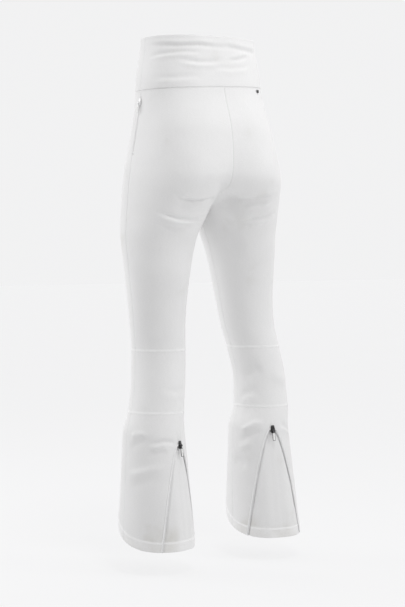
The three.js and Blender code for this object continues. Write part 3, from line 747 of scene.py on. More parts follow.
def loop_and_label(tape):
    """The hook loop and the folded care label inside the back of the waistband."""
    depth = TAPE_DEPTH + LINING + LAYER_GAP
    half = degrees_for("left", 0, 30)
    angle = (90 + np.linspace(-1, 1, 41) * half)[None] + np.zeros((4, 1))
    z = np.linspace(-8, -15, 4)[:, None] + 0 * angle
    bulge = 6 * np.sin(np.pi * (angle - 90 + half) / (2 * half))
    grid = sheet_grid("left", z, angle, depth + bulge)
    cloth("hanger_loop", "left", [grid], TAPE, tape, "zip_tape", roll=0.0)
    half = degrees_for("left", 0, 17)
    angle = (90 + np.linspace(-1, 1, 13) * half)[None] + np.zeros((15, 1))
    z = np.linspace(-22, -68, 15)[:, None] + 0 * angle
    cloth("care_label", "left", [sheet_grid("left", z, angle, depth)], 0.4, tape, "zip_tape", roll=0.0)


# ---- Thread, coils and other small repeated shapes ----
def outward(side, z, angle, depth=0.0):
    """Points of the folded cloth and the directions out of it."""
    base = surface(side, z, angle, depth)
    out = surface(side, z, angle, -1.0) - surface(side, z, angle)
    out /= np.linalg.norm(out, axis=-1, keepdims=True)
    return base + out * fold_height(base)[..., None] * MM, out


def rod_mesh(starts, ends, ups, width, height, rings=((0, 0.45), (0.2, 1), (0.8, 1), (1, 0.45))):
    """Vertices and faces of many short rods with blunt ends, each of six sides."""
    count, sides = len(starts), 6
    along = ends - starts
    across = np.cross(along, ups)
    across /= np.linalg.norm(across, axis=1, keepdims=True)
    turn = np.arange(sides) * 2 * np.pi / sides
    verts = []
    for share, size in rings:
        middle = starts + along * share
        for t in turn:
            verts.append(middle + (across * np.cos(t) * width + ups * np.sin(t) * height) * size / 2)
    verts = np.stack(verts, 1)
    faces = []
    last = (len(rings) - 1) * sides
    for r in range(len(rings) - 1):
        for k in range(sides):
            a, b = r * sides + k, r * sides + (k + 1) % sides
            faces.append([a, b, b + sides, a + sides])
    faces.append(list(range(sides))[::-1])
    faces.append([last + k for k in range(sides)])
    total = len(rings) * sides
    everything = [[i * total + v for v in face] for i in range(count) for face in faces]
    return verts.reshape(-1, 3), everything


def tube_mesh(middle, ups, width, height, sides=10):
    """Vertices and faces of a smooth cord along a line of points."""
    along = np.gradient(middle, axis=0)
    across = np.cross(along, ups)
    across /= np.linalg.norm(across, axis=1, keepdims=True)
    turn = np.arange(sides) * 2 * np.pi / sides
    rings = [middle + across * np.cos(t) * width / 2 + ups * np.sin(t) * height / 2 for t in turn]
    count = len(middle)
    faces = []
    for i in range(count - 1):
        for k in range(sides):
            a, b = i * sides + k, i * sides + (k + 1) % sides
            faces.append([a, b, b + sides, a + sides])
    faces.append(list(range(sides))[::-1])
    faces.append([(count - 1) * sides + k for k in range(sides)])
    return np.stack(rings, 1).reshape(-1, 3), faces


def rods(name, batches, material, slot, body="trousers", nodes=()):
    """One object of many small parts. Each batch is made already, or is what rod_mesh makes it from."""
    points, faces, base = [], [], 0
    for batch in batches:
        co, made = batch if len(batch) == 2 else rod_mesh(*batch)
        points.append(co)
        faces += [[base + v for v in face] for face in made]
        base += len(co)
    mesh = bpy.data.meshes.new(name)
    mesh.from_pydata(np.concatenate(points).tolist(), [], faces)
    bm = bmesh.new()
    bm.from_mesh(mesh)
    bmesh.ops.recalc_face_normals(bm, faces=bm.faces)
    bm.to_mesh(mesh)
    bm.free()
    mesh.shade_smooth()
    obj = bpy.data.objects.new(name, mesh)
    bpy.context.scene.collection.objects.link(obj)
    return finish_piece(obj, material, slot, body, *nodes)


def evenly(marks, pitch):
    """Shares at which a path of points is pitch metres further along."""
    run = np.concatenate([[0], np.cumsum(np.linalg.norm(np.diff(marks, axis=0), axis=1))])
    count = max(2, int(run[-1] / pitch))
    return np.interp(np.linspace(0, run[-1], count + 1), run, np.linspace(0, 1, len(marks)))


THREAD, STITCH, STITCH_PITCH = 0.42, 2.5, 3.3
BESIDE_SEAM = 2.2  # from a seam to the stitching beside it


def stitches(side, heights, angles, depth=0.0, pitch=STITCH_PITCH, length=STITCH):
    """A batch of stitches down a line of (height, angle) points."""
    z, angle = np.broadcast_arrays(np.asarray(heights, float), np.asarray(angles, float))
    share = np.linspace(0, 1, len(z))
    at = evenly(surface(side, z, angle), pitch * MM)
    middle = (at[1:] + at[:-1]) / 2
    reach = (at[1:] - at[:-1]) / 2 * length / pitch
    ends = []
    for s in (middle - reach, middle + reach):
        co, out = outward(side, np.interp(s, share, z), np.interp(s, share, angle), depth)
        ends.append(co + out * 0.08 * MM)
    return ends[0], ends[1], out, THREAD * MM, THREAD * MM


def bar_tack(side, z, angle, width, height, depth=0.0):
    """A batch of close, level stitches, as at the end of a zip."""
    rows = np.arange(0, height, 0.5) + z
    half = degrees_for(side, z, width / 2)
    a, out = outward(side, rows, angle - half + 0 * rows, depth)
    b, _ = outward(side, rows, angle + half + 0 * rows, depth)
    return a + out * 0.1 * MM, b + out * 0.1 * MM, out, 0.5 * MM, 0.5 * MM


def line(a, b, n=60):
    return np.linspace(a, b, n)


def seam_threads(side):
    """Topstitching of one leg."""
    batches = []
    around = line(-179, 179, 240)
    for seam_height in (KNEE_TOP, KNEE_BOTTOM):
        for z in (seam_height + BESIDE_SEAM, seam_height - BESIDE_SEAM):
            batches.append(stitches(side, z + 0 * around, around))
    lip = VENT_LIP + BESIDE_SEAM
    level = HEM + HEM_TURNING
    hem = line(vent_edge(side, level, 1, lip) - 360, vent_edge(side, level, -1, lip), 300)
    batches.append(stitches(side, hem_height(hem) + HEM_TURNING, hem))
    vent = mix(ZIP_TOP[side] + 2, HEM + 2, np.linspace(0, 1, 90) ** 1.6)
    for way in (-1, 1):
        edge = vent_edge(side, np.minimum(vent, ZIP_TOP[side]), way, VENT_LIP + 1.8)
        batches.append(stitches(side, vent, edge))
    gusset = line(vent_edge(side, level, -1, 0), vent_edge(side, level, 1, 0), 100)
    batches.append(stitches(side, hem_height(gusset) + HEM_TURNING, gusset, GUSSET_DEPTH - PUFF))
    top, half = ZIP_TOP[side] + 26, degrees_for(side, ZIP_TOP[side], 6)
    foot, near, far = top - 16, HEM_ZIP[side] - half, HEM_ZIP[side] + half
    box = [(top, foot, near, far), (top, foot, near, near), (top, foot, far, near), (top, foot, far, far)]
    for high, low, start, end in [*box, (top, top, near, far), (foot, foot, near, far)]:
        batches.append(stitches(side, line(high, low, 8), line(start, end, 8), pitch=2))
    for way in (-1, 1):
        z = line(POCKET_TOP + 1, POCKET_BOTTOM - 1)
        batches.append(stitches(side, z, way * degrees_for(side, z, POCKET_OPEN + 2)))
    for z in (POCKET_TOP + 2, POCKET_BOTTOM - 5):
        batches.append(bar_tack(side, z, 0, 8, 3))
    below = np.full(160, WAIST_SEAM - BESIDE_SEAM)
    ends = degrees_for(side, WAIST_SEAM, 6)
    batches.append(stitches(side, below, line(-90 + ends, 90 - 0.5, 160)))
    return batches


def waist_threads():
    """Topstitching of the waistband, and the curved line of the fly."""
    batches = []
    for z in (-3.2, WAIST_SEAM + BESIDE_SEAM):
        around = line(-88, 268, 320)
        batches.append(stitches("left", z + 0 * around, around))
    z = line(WAIST_SEAM - 4, FLY_BOTTOM + 14)
    for side in SIDES:
        batches.append(stitches(side, z, -middle_angle(side, z, FLY_OPEN + 2)))
    turn = line(0, 90, 30)
    curve_z = FLY_BOTTOM + 26 - 30 * np.sin(np.radians(turn))
    curve_x = 36 * np.cos(np.radians(turn)) + 1
    straight = line(WAIST_SEAM - 3, FLY_BOTTOM + 26)
    batches.append(stitches("left", straight, -middle_angle("left", straight, 37)))
    batches.append(stitches("left", curve_z, -middle_angle("left", curve_z, curve_x)))
    batches.append(bar_tack("left", FLY_BOTTOM - 4, -90.0 + 0.5, 5, 4))
    lap = degrees_for("left", 0, 1.0)
    z = line(-4, WAIST_SEAM + 4)
    ends = [-90 + (OVERLAP_INSET - OVERLAP_BACK) * lap, -90 + (OVERLAP_PAST_CENTRE - OVERLAP_INSET) * lap]
    for angle in ends:
        batches.append(stitches("left", z, angle + 0 * z, OVERLAP_DEPTH))
    flat = line(*ends, 20)
    for z in (-4.0, WAIST_SEAM + 4.0):
        batches.append(stitches("left", z + 0 * flat, flat, OVERLAP_DEPTH))
    return batches


def hem_coil(side, way, nylon):
    """Teeth of a parted zip, on a cord along the edge of its tape."""
    shares = np.linspace(1 / 12, 1, 160) ** 1.6
    foot = hem_height(vent_edge(side, HEM, way, 2.0))
    z = mix(ZIP_TOP[side], foot, shares)
    at = evenly(surface(side, z, vent_edge(side, z, way, 2.0)), 1.5 * MM)
    height = np.interp(at, np.linspace(0, 1, len(z)), z)
    depth = TAPE_DEPTH - 1.3
    a, out = outward(side, height, vent_edge(side, height, way, 0.8), depth + 0.3)
    b, _ = outward(side, height, vent_edge(side, height, way, 0.8 + COIL_WIDTH + 0.8), depth)
    teeth = (a, b, out, 1.15 * MM, 1.3 * MM)
    middle, out = outward(side, height, vent_edge(side, height, way, 0.8 + COIL_WIDTH), depth + 0.5)
    cord = tube_mesh(middle, out, 1.9 * MM, 1.3 * MM)
    end = f"{'inner' if way > 0 else 'outer'}_{side}"
    rods(f"hem_zip_teeth_{end}", [teeth, cord], nylon, "zip_coil", nodes=[f"hem_zip_coil_{end}"])


PIPING = 2.1  # thickness of the bound edge beside the teeth


def vent_piping(side, shell):
    """The shell's folded edge beside each row of teeth, bound over a soft cord."""
    for name, way in (("outer", -1), ("inner", 1)):
        shares = np.linspace(0.004, 1, 200) ** 1.5
        z = mix(ZIP_TOP[side] + 2, hem_height(vent_edge(side, HEM, way, VENT_LIP)) + 0.6, shares)
        angle = vent_edge(side, np.minimum(z, ZIP_TOP[side]), way, VENT_LIP + 0.3)
        middle, out = outward(side, z, angle, 0.5)
        cord = tube_mesh(middle, out, PIPING * MM, PIPING * MM)
        # Its finish is paler than the shell: a painted highlight along the vent's edges.
        rods(f"vent_piping_{name}_{side}", [cord], shell, "softshell")


def closed_coil(name, side, middle, top, bottom, nylon):
    """Meshed teeth of a closed zip, alternating from side to side over a seam of thread."""
    z = line(top - 1, bottom + 1, 200)
    at = evenly(surface(side, z, middle(z)), 0.75 * MM)
    height = np.interp(at, np.linspace(0, 1, len(z)), z)
    way = np.where(np.arange(len(height)) % 2, 1, -1)
    depth = HIDDEN_COIL_DEPTH
    reach = [degrees_for(side, height, w) for w in (COIL_WIDTH / 2, COIL_WIDTH / 4)]
    a, out = outward(side, height, middle(height) + way * reach[0], depth)
    b, _ = outward(side, height, middle(height) - way * reach[1], depth)
    rods(f"{name}_teeth", [(a, b, out, 0.62 * MM, 1.15 * MM)], nylon, "zip_coil", nodes=[f"{name}_coil"])


# ---- Materials ----
def dimmed(color, share):
    return tuple(c * share for c in color)


class Surface:
    """A material being built: its nodes, its links and its shader."""

    def __init__(self, name, color, roughness, **shader):
        self.material = bpy.data.materials.new(name)
        self.material.use_nodes = True
        self.tree = self.material.node_tree
        self.shader = self.tree.nodes["Principled BSDF"]
        self.set(Base_Color=(*color, 1.0), Roughness=roughness, **shader)

    def set(self, **values):
        for key, value in values.items():
            self.shader.inputs[key.replace("_", " ")].default_value = value

    def node(self, kind, inputs=None, **values):
        made = self.tree.nodes.new(f"ShaderNode{kind}")
        for key, value in values.items():
            setattr(made, key, value)
        for key, value in (inputs or {}).items():
            if hasattr(value, "is_output"):
                self.tree.links.new(value, made.inputs[key])
            else:
                made.inputs[key].default_value = value
        return made

    def link(self, output, socket):
        self.tree.links.new(output, self.shader.inputs[socket])

    def pattern(self, scale):
        """Position on the cloth's own pattern, in metres times scale."""
        uv = self.node("UVMap", uv_map="Pattern")
        return self.node("Mapping", {"Vector": uv.outputs["UV"], "Scale": scale}).outputs[0]

    def place(self, scale=(1, 1, 1)):
        """Position in the trousers' own frame, in metres times scale."""
        where = self.node("TexCoord")
        return self.node("Mapping", {"Vector": where.outputs["Object"], "Scale": scale}).outputs[0]

    def noise(self, vector, scale, detail=3.0):
        inputs = {"Vector": vector, "Scale": scale, "Detail": detail}
        return self.node("TexNoise", inputs).outputs["Fac"]

    def wave(self, vector, scale, direction, distortion=0.4):
        inputs = {"Vector": vector, "Scale": scale, "Distortion": distortion, "Detail": 1.0}
        return self.node("TexWave", inputs, bands_direction=direction).outputs["Fac"]

    def math(self, operation, a, b=0.5):
        return self.node("Math", {0: a, 1: b}, operation=operation).outputs[0]

    def shades(self, factor, *stops):
        """Colours at places along a factor from 0 to 1."""
        ramp = self.node("ValToRGB", {"Fac": factor})
        elements = ramp.color_ramp.elements
        for at, color in stops[2:]:
            elements.new(at)
        for element, (at, color) in zip(sorted(elements, key=lambda e: e.position), sorted(stops)):
            element.position, element.color = at, (*color, 1.0)
        return ramp.outputs["Color"]

    def ranged(self, value, low, high, to_low, to_high):
        inputs = {"Value": value, 1: low, 2: high, 3: to_low, 4: to_high}
        return self.node("MapRange", inputs).outputs[0]

    def mottled(self, color, darkest, scale, detail):
        """Colours the surface with slow patches, the darkest of them this share of its colour."""
        tone = self.noise(self.place(), scale, detail)
        self.link(self.shades(tone, (0.3, dimmed(color, darkest)), (0.7, color)), "Base Color")
        return tone

    def bumps(self, *layers):
        """Bumps laid over one another, each (height, strength, distance in metres)."""
        normal = None
        for height, strength, distance in layers:
            inputs = {"Height": height, "Strength": strength, "Distance": distance}
            if normal:
                inputs["Normal"] = normal
            normal = self.node("Bump", inputs).outputs[0]
        self.link(normal, "Normal")


def sheen(weight, roughness):
    return {"Sheen_Weight": weight, "Sheen_Roughness": roughness}


def softshell_cloth(color):
    """White stretch softshell: a fine twill face with slow mottling, greyed a little near the hem, and a
    painted highlight along its raised seams.
    """
    s = Surface("white_softshell", color, 0.78, Specular_IOR_Level=0.3, **sheen(0.18, 0.35))
    weave = s.pattern((1000, 1000, 1000))
    twill = s.wave(weave, 0.42, "DIAGONAL", 1.2)
    cross = s.wave(s.pattern((-1000, 1000, 1000)), 0.42, "DIAGONAL", 1.2)
    slub = s.noise(s.pattern((260, 1400, 1000)), 1.0, 2.0)
    mottle = s.noise(s.place(), 14.0, 4.0)
    height = s.node("SeparateXYZ", {0: s.place()}).outputs["Z"]
    wear = s.ranged(height, -1.0, -1.075, 0.0, 0.5)
    soiled = s.math("MULTIPLY", s.noise(s.place(), 60.0, 5.0), wear)
    tone = s.math("SUBTRACT", mottle, soiled)
    soil = tuple(c * f for c, f in zip(color, (0.86, 0.85, 0.82)))
    base = s.shades(tone, (0.05, soil), (0.36, dimmed(color, 0.985)), (0.66, dimmed(color, 1.01)))
    # Painted highlight: paler cloth along the raised seams and the hem's turning, where the ridges would
    # catch the light.
    raised_seam_highlight = s.node("Attribute", attribute_name="RaisedSeamHighlight").outputs["Fac"]
    pale = tuple(min(1, c * 1.13) for c in color)
    base = s.node("Mix", {0: raised_seam_highlight, 6: base, 7: (*pale, 1)}, data_type="RGBA").outputs[2]
    thread = s.shades(slub, (0.35, (0.95, 0.95, 0.95)), (0.65, (1, 1, 1)))
    mixed = s.node("Mix", {6: base, 7: thread, 0: 1.0}, data_type="RGBA", blend_type="MULTIPLY")
    s.link(mixed.outputs[2], "Base Color")
    s.link(s.ranged(slub, 0.3, 0.7, 0.7, 0.86), "Roughness")
    crumple = s.noise(s.place(), 95.0, 3.0)
    crossed = s.math("MULTIPLY", twill, cross)
    s.bumps((crossed, 0.35, 0.00012), (slub, 0.25, 0.0001), (crumple, 0.5, 0.0006))
    return s.material


def knit_lining(color):
    """Brushed tricot lining: fine ribs down the cloth."""
    s = Surface("white_tricot", color, 0.88, Specular_IOR_Level=0.2, **sheen(0.3, 0.5))
    ribs = s.wave(s.pattern((1000, 1000, 1000)), 0.3, "X", 0.6)
    loops = s.wave(s.pattern((1000, 1000, 1000)), 0.36, "Y", 0.8)
    fuzz = s.noise(s.place(), 900.0, 2.0)
    s.mottled(color, 0.94, 40.0, 3.0)
    s.bumps((ribs, 0.4, 0.00012), (loops, 0.3, 0.0001), (fuzz, 0.3, 0.0001))
    return s.material


def woven_tape(color):
    """Polyester tape: close ribs across a satin weave."""
    s = Surface("white_tape", color, 0.62, Specular_IOR_Level=0.35)
    ribs = s.wave(s.pattern((1000, 1000, 1000)), 0.45, "X", 0.3)
    weft = s.wave(s.pattern((1000, 1000, 1000)), 0.5, "Y", 0.3)
    tone = s.mottled(color, 0.94, 120.0, 2.0)
    s.bumps((s.math("MULTIPLY", ribs, weft), 0.5, 0.00015), (tone, 0.1, 0.0002))
    return s.material


def spun_thread(color):
    """Polyester sewing thread, with its twist."""
    s = Surface("white_thread", color, 0.5, Sheen_Weight=0.1, Specular_IOR_Level=0.4)
    twist = s.wave(s.place((1000, 1000, 1000)), 0.9, "DIAGONAL", 0.5)
    s.mottled(color, 0.93, 300.0, 2.0)
    s.bumps((twist, 0.4, 0.00005))
    return s.material


def highlighted_bound_edge(color):
    """Cloth bound tightly over a cord: fine ribs, smoother than the flat cloth, and paler as a painted
    highlight along the bound edge.
    """
    s = Surface("white_binding_painted_highlight", color, 0.66, Specular_IOR_Level=0.3, **sheen(0.25, 0.35))
    grain = s.noise(s.place((900, 900, 1600)), 1.0, 2.0)
    s.mottled(color, 0.96, 150.0, 2.0)
    s.bumps((grain, 0.3, 0.00008))
    return s.material


def moulded(name, color, roughness):
    """Moulded nylon or rubber: a fine grain, slightly uneven in tone."""
    s = Surface(name, color, roughness)
    tone = s.mottled(color, 0.9, 180.0, 4.0)
    fine = s.noise(s.place(), 1400.0, 2.0)
    s.link(s.ranged(tone, 0.3, 0.7, roughness - 0.06, roughness + 0.08), "Roughness")
    s.bumps((fine, 0.25, 0.00004))
    return s.material


def enamelled(name, color, roughness, rubbed):
    """Painted die-cast metal, rubbed along its edges and finely scratched."""
    s = Surface(name, color, roughness, Metallic=0.0, Coat_Weight=0.35, Coat_Roughness=0.18)
    edge = s.node("NewGeometry").outputs["Pointiness"]
    worn = s.ranged(edge, 0.53, 0.6, 0.0, 1.0)
    patchy = s.math("MULTIPLY", worn, s.noise(s.place(), 700.0, 3.0))
    s.link(s.shades(patchy, (0.1, color), (0.55, rubbed)), "Base Color")
    scratches = s.noise(s.place((300, 2600, 700)), 1.0, 3.0)
    s.link(s.ranged(scratches, 0.35, 0.7, roughness - 0.08, roughness + 0.16), "Roughness")
    s.bumps((scratches, 0.12, 0.00003))
    return s.material


PALE = (0.885, 0.885, 0.89)  # the room and its floor


def painted_floor(albedo):
    """A matt floor as pale as the room: what it doesn't reflect, it glows."""
    color = dimmed(PALE, albedo)
    s = Surface("pale_floor", color, 0.8, Specular_IOR_Level=0.05)
    s.set(Emission_Color=(*dimmed(PALE, 1.015 - albedo), 1), Emission_Strength=1.0)
    s.mottled(color, 0.985, 2.2, 3.0)
    return s.material


# ---- Hard pieces, modelled at the origin and then set in place ----
def select_none():
    if bpy.context.object and bpy.context.object.mode != "OBJECT":
        bpy.ops.object.mode_set(mode="OBJECT")
    bpy.ops.object.select_all(action="DESELECT")


def edit(obj, want, mode="FACE"):
    """Opens a mesh in edit mode with the faces or edges that want() accepts selected."""
    select_none()
    obj.select_set(True)
    bpy.context.view_layer.objects.active = obj
    bpy.ops.object.mode_set(mode="EDIT")
    bpy.ops.mesh.select_mode(type=mode)
    bpy.ops.mesh.select_all(action="DESELECT")
    bm = bmesh.from_edit_mesh(obj.data)
    if mode == "FACE":
        for face in bm.faces:
            face.select_set(want(face.calc_center_median(), face.normal))
    else:
        for edge in bm.edges:
            edge.select_set(want((edge.verts[0].co + edge.verts[1].co) / 2, edge))
    bm.select_flush_mode()
    bmesh.update_edit_mesh(obj.data)


def object_mode():
    bpy.ops.object.mode_set(mode="OBJECT")


def bevelled(obj, width, segments=2, angle=35):
    """Rounds a hard piece's edges for good."""
    select_none()
    obj.select_set(True)
    bpy.context.view_layer.objects.active = obj
    made = obj.modifiers.new("Rounded edges", "BEVEL")
    made.width, made.segments, made.limit_method = width, segments, "ANGLE"
    made.angle_limit = math.radians(angle)
    bpy.ops.object.modifier_apply(modifier=made.name)
    bpy.ops.object.shade_smooth_by_angle(angle=math.radians(40))


def block(size, at):
    select_none()
    bpy.ops.mesh.primitive_cube_add(size=1, location=at)
    obj = bpy.context.object
    obj.scale = size
    bpy.ops.object.transform_apply(location=True, rotation=True, scale=True)
    return obj


def rod(radius, length, at, direction="Y", vertices=20):
    select_none()
    turn = (math.pi / 2, 0, 0) if direction == "Y" else (0, 0, 0)
    bpy.ops.mesh.primitive_cylinder_add(
        radius=radius, depth=length, location=at, rotation=turn, vertices=vertices
    )
    bpy.ops.object.transform_apply(location=True, rotation=True, scale=True)
    return bpy.context.object


def joined(name, *parts):
    select_none()
    for part in parts:
        part.select_set(True)
    bpy.context.view_layer.objects.active = parts[0]
    if len(parts) > 1:
        bpy.ops.object.join()
    obj = bpy.context.object
    obj.name = obj.data.name = name
    return obj


# Slider and pull, in metres. X runs up the zip to its closed end, Z out of the cloth.
PLATE_HIGH = 2.5 * MM
EAR_AT = 2.65 * MM  # from the zip's line to the middle of each ear
PIN_AT, PIN_LEVEL, PIN_RADIUS = -1.5 * MM, 4.7 * MM, 0.6 * MM
PULL_WIDTH = 7 * MM


def slider_shape():
    """A slider: a waisted top plate with a raised spine, turned-down flanges and a bridge for the pull."""
    plate = block((16 * MM, 10 * MM, 1.2 * MM), (0, 0, 2.0 * MM))
    edit(plate, lambda co, n: True)
    bpy.ops.mesh.subdivide(number_cuts=7)
    object_mode()
    for vert in plate.data.vertices:
        x, y = vert.co.x / (8 * MM), vert.co.y / (5 * MM)
        width = 1 - 0.3 * smoothstep((x + 0.2) / 1.2) - 0.22 * smoothstep((-x - 0.7) / 0.3)
        vert.co.y = y * width * 5 * MM
        if abs(x) > 0.99:
            vert.co.x += math.copysign((1 - y * y) * 0.4 * MM, x)
        if vert.co.z > 2.0 * MM:
            vert.co.z += (0.45 - 0.7 * y * y - 0.35 * x**4) * MM * 0.6
        else:
            vert.co.z -= 0.45 * MM * smoothstep((abs(y) - 0.6) / 0.4)
    bevelled(plate, 0.35 * MM)
    parts = [plate]
    for way in (-1, 1):
        ear = block((5 * MM, 1.2 * MM, 3.4 * MM), (PIN_AT, way * EAR_AT, PLATE_HIGH + 1.6 * MM))
        edit(ear, lambda co, n: n.z > 0.9)
        bpy.ops.transform.resize(value=(0.55, 1, 1), center_override=(PIN_AT, 0, 0))
        object_mode()
        bevelled(ear, 0.4 * MM, 3)
        parts.append(ear)
    pin = rod(PIN_RADIUS, 5.4 * MM, (PIN_AT, 0, PIN_LEVEL), vertices=16)
    bevelled(pin, 0.15 * MM, 2)
    parts.append(pin)
    for x in (4.6, 6.0):
        rib = block((0.5 * MM, 4.2 * MM, 0.5 * MM), (x * MM, 0, PLATE_HIGH + 0.1 * MM))
        bevelled(rib, 0.12 * MM, 2)
        parts.append(rib)
    return joined("slider", *parts)


def pull_shapes():
    """The two parts of a pull: a round-ended plate with an eye for the pin, and a ribbed rubber face."""
    plate = block((18.5 * MM, PULL_WIDTH, 0.9 * MM), (-14.75 * MM, 0, 0))
    rounded_ends(plate, 3.0 * MM)
    bevelled(plate, 0.18 * MM, 2, 30)
    neck = block((6.4 * MM, 3.5 * MM, 1.2 * MM), (-4.1 * MM, 0, 0))
    bevelled(neck, 0.3 * MM, 2)
    collar = rod(1.6 * MM, 3.5 * MM, (0, 0, 0), vertices=28)
    edit(collar, lambda co, n: abs(n.y) > 0.9)
    bpy.ops.mesh.inset(thickness=0.7 * MM, use_individual=True)
    bpy.ops.mesh.bridge_edge_loops()
    object_mode()
    bevelled(collar, 0.15 * MM, 2)
    faces = []
    for way in (-1, 1):
        face = block((16.4 * MM, 5.2 * MM, 0.55 * MM), (-14.9 * MM, 0, way * 0.55 * MM))
        rounded_ends(face, 2.2 * MM)
        edit(face, lambda co, n, way=way: n.z * way > 0.9)
        bpy.ops.mesh.inset(thickness=0.55 * MM)
        bpy.ops.mesh.inset(thickness=0.2 * MM, depth=-0.2 * MM)
        object_mode()
        bevelled(face, 0.12 * MM, 2, 30)
        faces.append(face)
        for x in (-11, -13.5, -16, -18.5):
            rib = block((0.8 * MM, 3.2 * MM, 0.3 * MM), (x * MM, 0, way * 0.72 * MM))
            bevelled(rib, 0.12 * MM, 2)
            faces.append(rib)
    return joined("pull_core", plate, neck, collar), joined("pull_face", *faces)


def rounded_ends(obj, radius, segments=6):
    """Rounds the upright edges of a plate."""
    edit(obj, lambda co, edge: abs(edge.verts[0].co.z - edge.verts[1].co.z) > 0.3 * MM, "EDGE")
    bpy.ops.mesh.bevel(offset=radius, segments=segments, affect="EDGES")
    object_mode()


def placed_copy(shape, name, place):
    """A copy of a shape with its own mesh, its place put into the mesh."""
    mesh = shape.data.copy()
    mesh.transform(place)
    obj = bpy.data.objects.new(name, mesh)
    mesh.name = name
    bpy.context.scene.collection.objects.link(obj)
    return obj


def removed(*shapes):
    for shape in shapes:
        bpy.data.objects.remove(shape, do_unlink=True)


def zip_place(name):
    """Where a zip's slider stands: its turn, the middle of its pin and its own middle."""
    joints = {joint["name"]: joint for joint in frame["joints"]}
    up = -Vector(joints[f"{name}_travel"]["axis"]).normalized()
    hinge = joints[f"{name}_pull_swing"]
    across = Vector(hinge["axis"]).normalized()
    out = up.cross(across).normalized()
    across = out.cross(up)
    turn = Matrix((up, across, out)).transposed().to_4x4()
    pin = Vector(hinge["pos_m"])
    middle = pin - up * PIN_AT - out * PIN_LEVEL
    return Matrix.Translation(middle) @ turn, Matrix.Translation(pin) @ turn


def zip_hardware(names, slider_finish, slot, pull_finish):
    slider = slider_shape()
    core, face = pull_shapes()
    for name in names:
        at_slider, at_pin = zip_place(name)
        body, pull = f"{name}_slider", f"{name}_pull"
        made = placed_copy(slider, f"{body}_body", at_slider)
        finish_piece(made, slider_finish, slot, body, body)
        made = placed_copy(core, f"{pull}_core", at_pin)
        finish_piece(made, slider_finish, slot, pull)
        made = placed_copy(face, f"{pull}_face", at_pin)
        finish_piece(made, pull_finish, "pull_rubber", pull, pull)
    removed(slider, core, face)


def snap_halves(metal):
    """Press studs: a domed cap with a rolled ring outside and a ringed post inside."""
    for name in ("upper", "lower"):
        for half, radius in (("cap", 6.5 * MM), ("post", 5.5 * MM)):
            low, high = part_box(f"snap_{half}_{name}")
            middle = (Vector(low) + Vector(high)) / 2
            shape = rod(radius, 1.3 * MM, (0, 0, 0), "Z", 40)
            edit(shape, lambda co, n: n.z > 0.9)
            for ring, rise in ((0.9, 0.25), (0.5, -0.35), (1.4, 0.3), (1.4, 0.12)):
                bpy.ops.mesh.inset(thickness=ring * MM, depth=rise * MM)
            object_mode()
            bevelled(shape, 0.12 * MM, 2, 25)
            out = snap_direction(name)
            if half == "post":
                out = -out
            turn = out.to_track_quat("Z", "Y").to_matrix().to_4x4()
            obj = placed_copy(shape, f"snap_{half}_{name}_stud", Matrix.Translation(middle) @ turn)
            finish_piece(obj, metal, "white_metal", "trousers", f"snap_{half}_{name}")
            removed(shape)


def snap_direction(name):
    cap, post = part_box(f"snap_cap_{name}"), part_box(f"snap_post_{name}")
    out = (Vector(cap[0]) + Vector(cap[1])) - (Vector(post[0]) + Vector(post[1]))
    return out.normalized()


def badge_tab(finish):
    """The small plain badge on the right hip: a rounded tile with a raised frame."""
    low, high = (Vector(corner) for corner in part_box("badge"))
    z, angle = -113.0, 46.0 + degrees_for("right", -111, 4.5)
    base = Vector(surface("right", z, angle, -1.3))
    out = (Vector(surface("right", z, angle, -2.3)) - base).normalized()
    shape = block((10 * MM, 6 * MM, 0.8 * MM), (0, 0, 0))
    rounded_ends(shape, 1.2 * MM, 4)
    edit(shape, lambda co, n: n.z > 0.9)
    bpy.ops.mesh.inset(thickness=0.5 * MM)
    bpy.ops.mesh.inset(thickness=0.12 * MM, depth=-0.15 * MM)
    object_mode()
    bevelled(shape, 0.08 * MM, 2, 30)
    side = Vector((0, 0, 1)).cross(out).normalized()
    turn = Matrix((side, out.cross(side), out)).transposed().to_4x4()
    obj = placed_copy(shape, "badge_tile", Matrix.Translation((low + high) / 2) @ turn)
    removed(shape)
    return finish_piece(obj, finish, "badge_rubber", "trousers", "badge")


# ---- Settings ----
def color_setting(name, description, color):
    return FloatVectorProperty(name=name, description=description, subtype="COLOR", default=color)


class ClothSettings(bpy.types.PropertyGroup):
    shell_color: color_setting("Softshell", "Colour of the outer cloth", (0.81, 0.808, 0.807))
    lining_color: color_setting("Lining", "Colour of facings and pocket bags", (0.78, 0.78, 0.775))
    tape_color: color_setting("Tape", "Colour of zip tapes, loop and label", (0.8, 0.8, 0.8))
    # The thread colour also paints a highlight on the bound edges, paler than the shell.
    thread_and_highlight_color: color_setting("Thread", "Colour of the stitching and bound edges", (0.88, 0.88, 0.88))


class TrimSettings(bpy.types.PropertyGroup):
    slider_color: color_setting("Hem sliders", "Colour of the hem zips' sliders", (0.012, 0.012, 0.013))
    small_metal_color: color_setting("Small metal", "Colour of snaps and small sliders", (0.88, 0.88, 0.88))
    teeth_color: color_setting("Zip teeth", "Colour of the coils", (0.88, 0.88, 0.88))
    pull_color: color_setting("Pulls", "Colour of the moulded pulls", (0.86, 0.86, 0.85))


class StageSettings(bpy.types.PropertyGroup):
    floor_height: FloatProperty(
        name="Floor", description="Height of the floor", default=CAD_BOX[0][2] - 0.05, unit="LENGTH"
    )
    key_power: FloatProperty(
        name="Key light", description="Power that the lights share", default=15.0, unit="POWER"
    )
    room_shade: FloatProperty(
        name="Room shade",
        description="Brightness of the room behind the camera",
        default=0.5,
        subtype="FACTOR",
    )


MADE_FINISHES = {}
DARK_METAL, BRIGHT_METAL = (0.16, 0.16, 0.165), (0.6, 0.6, 0.61)


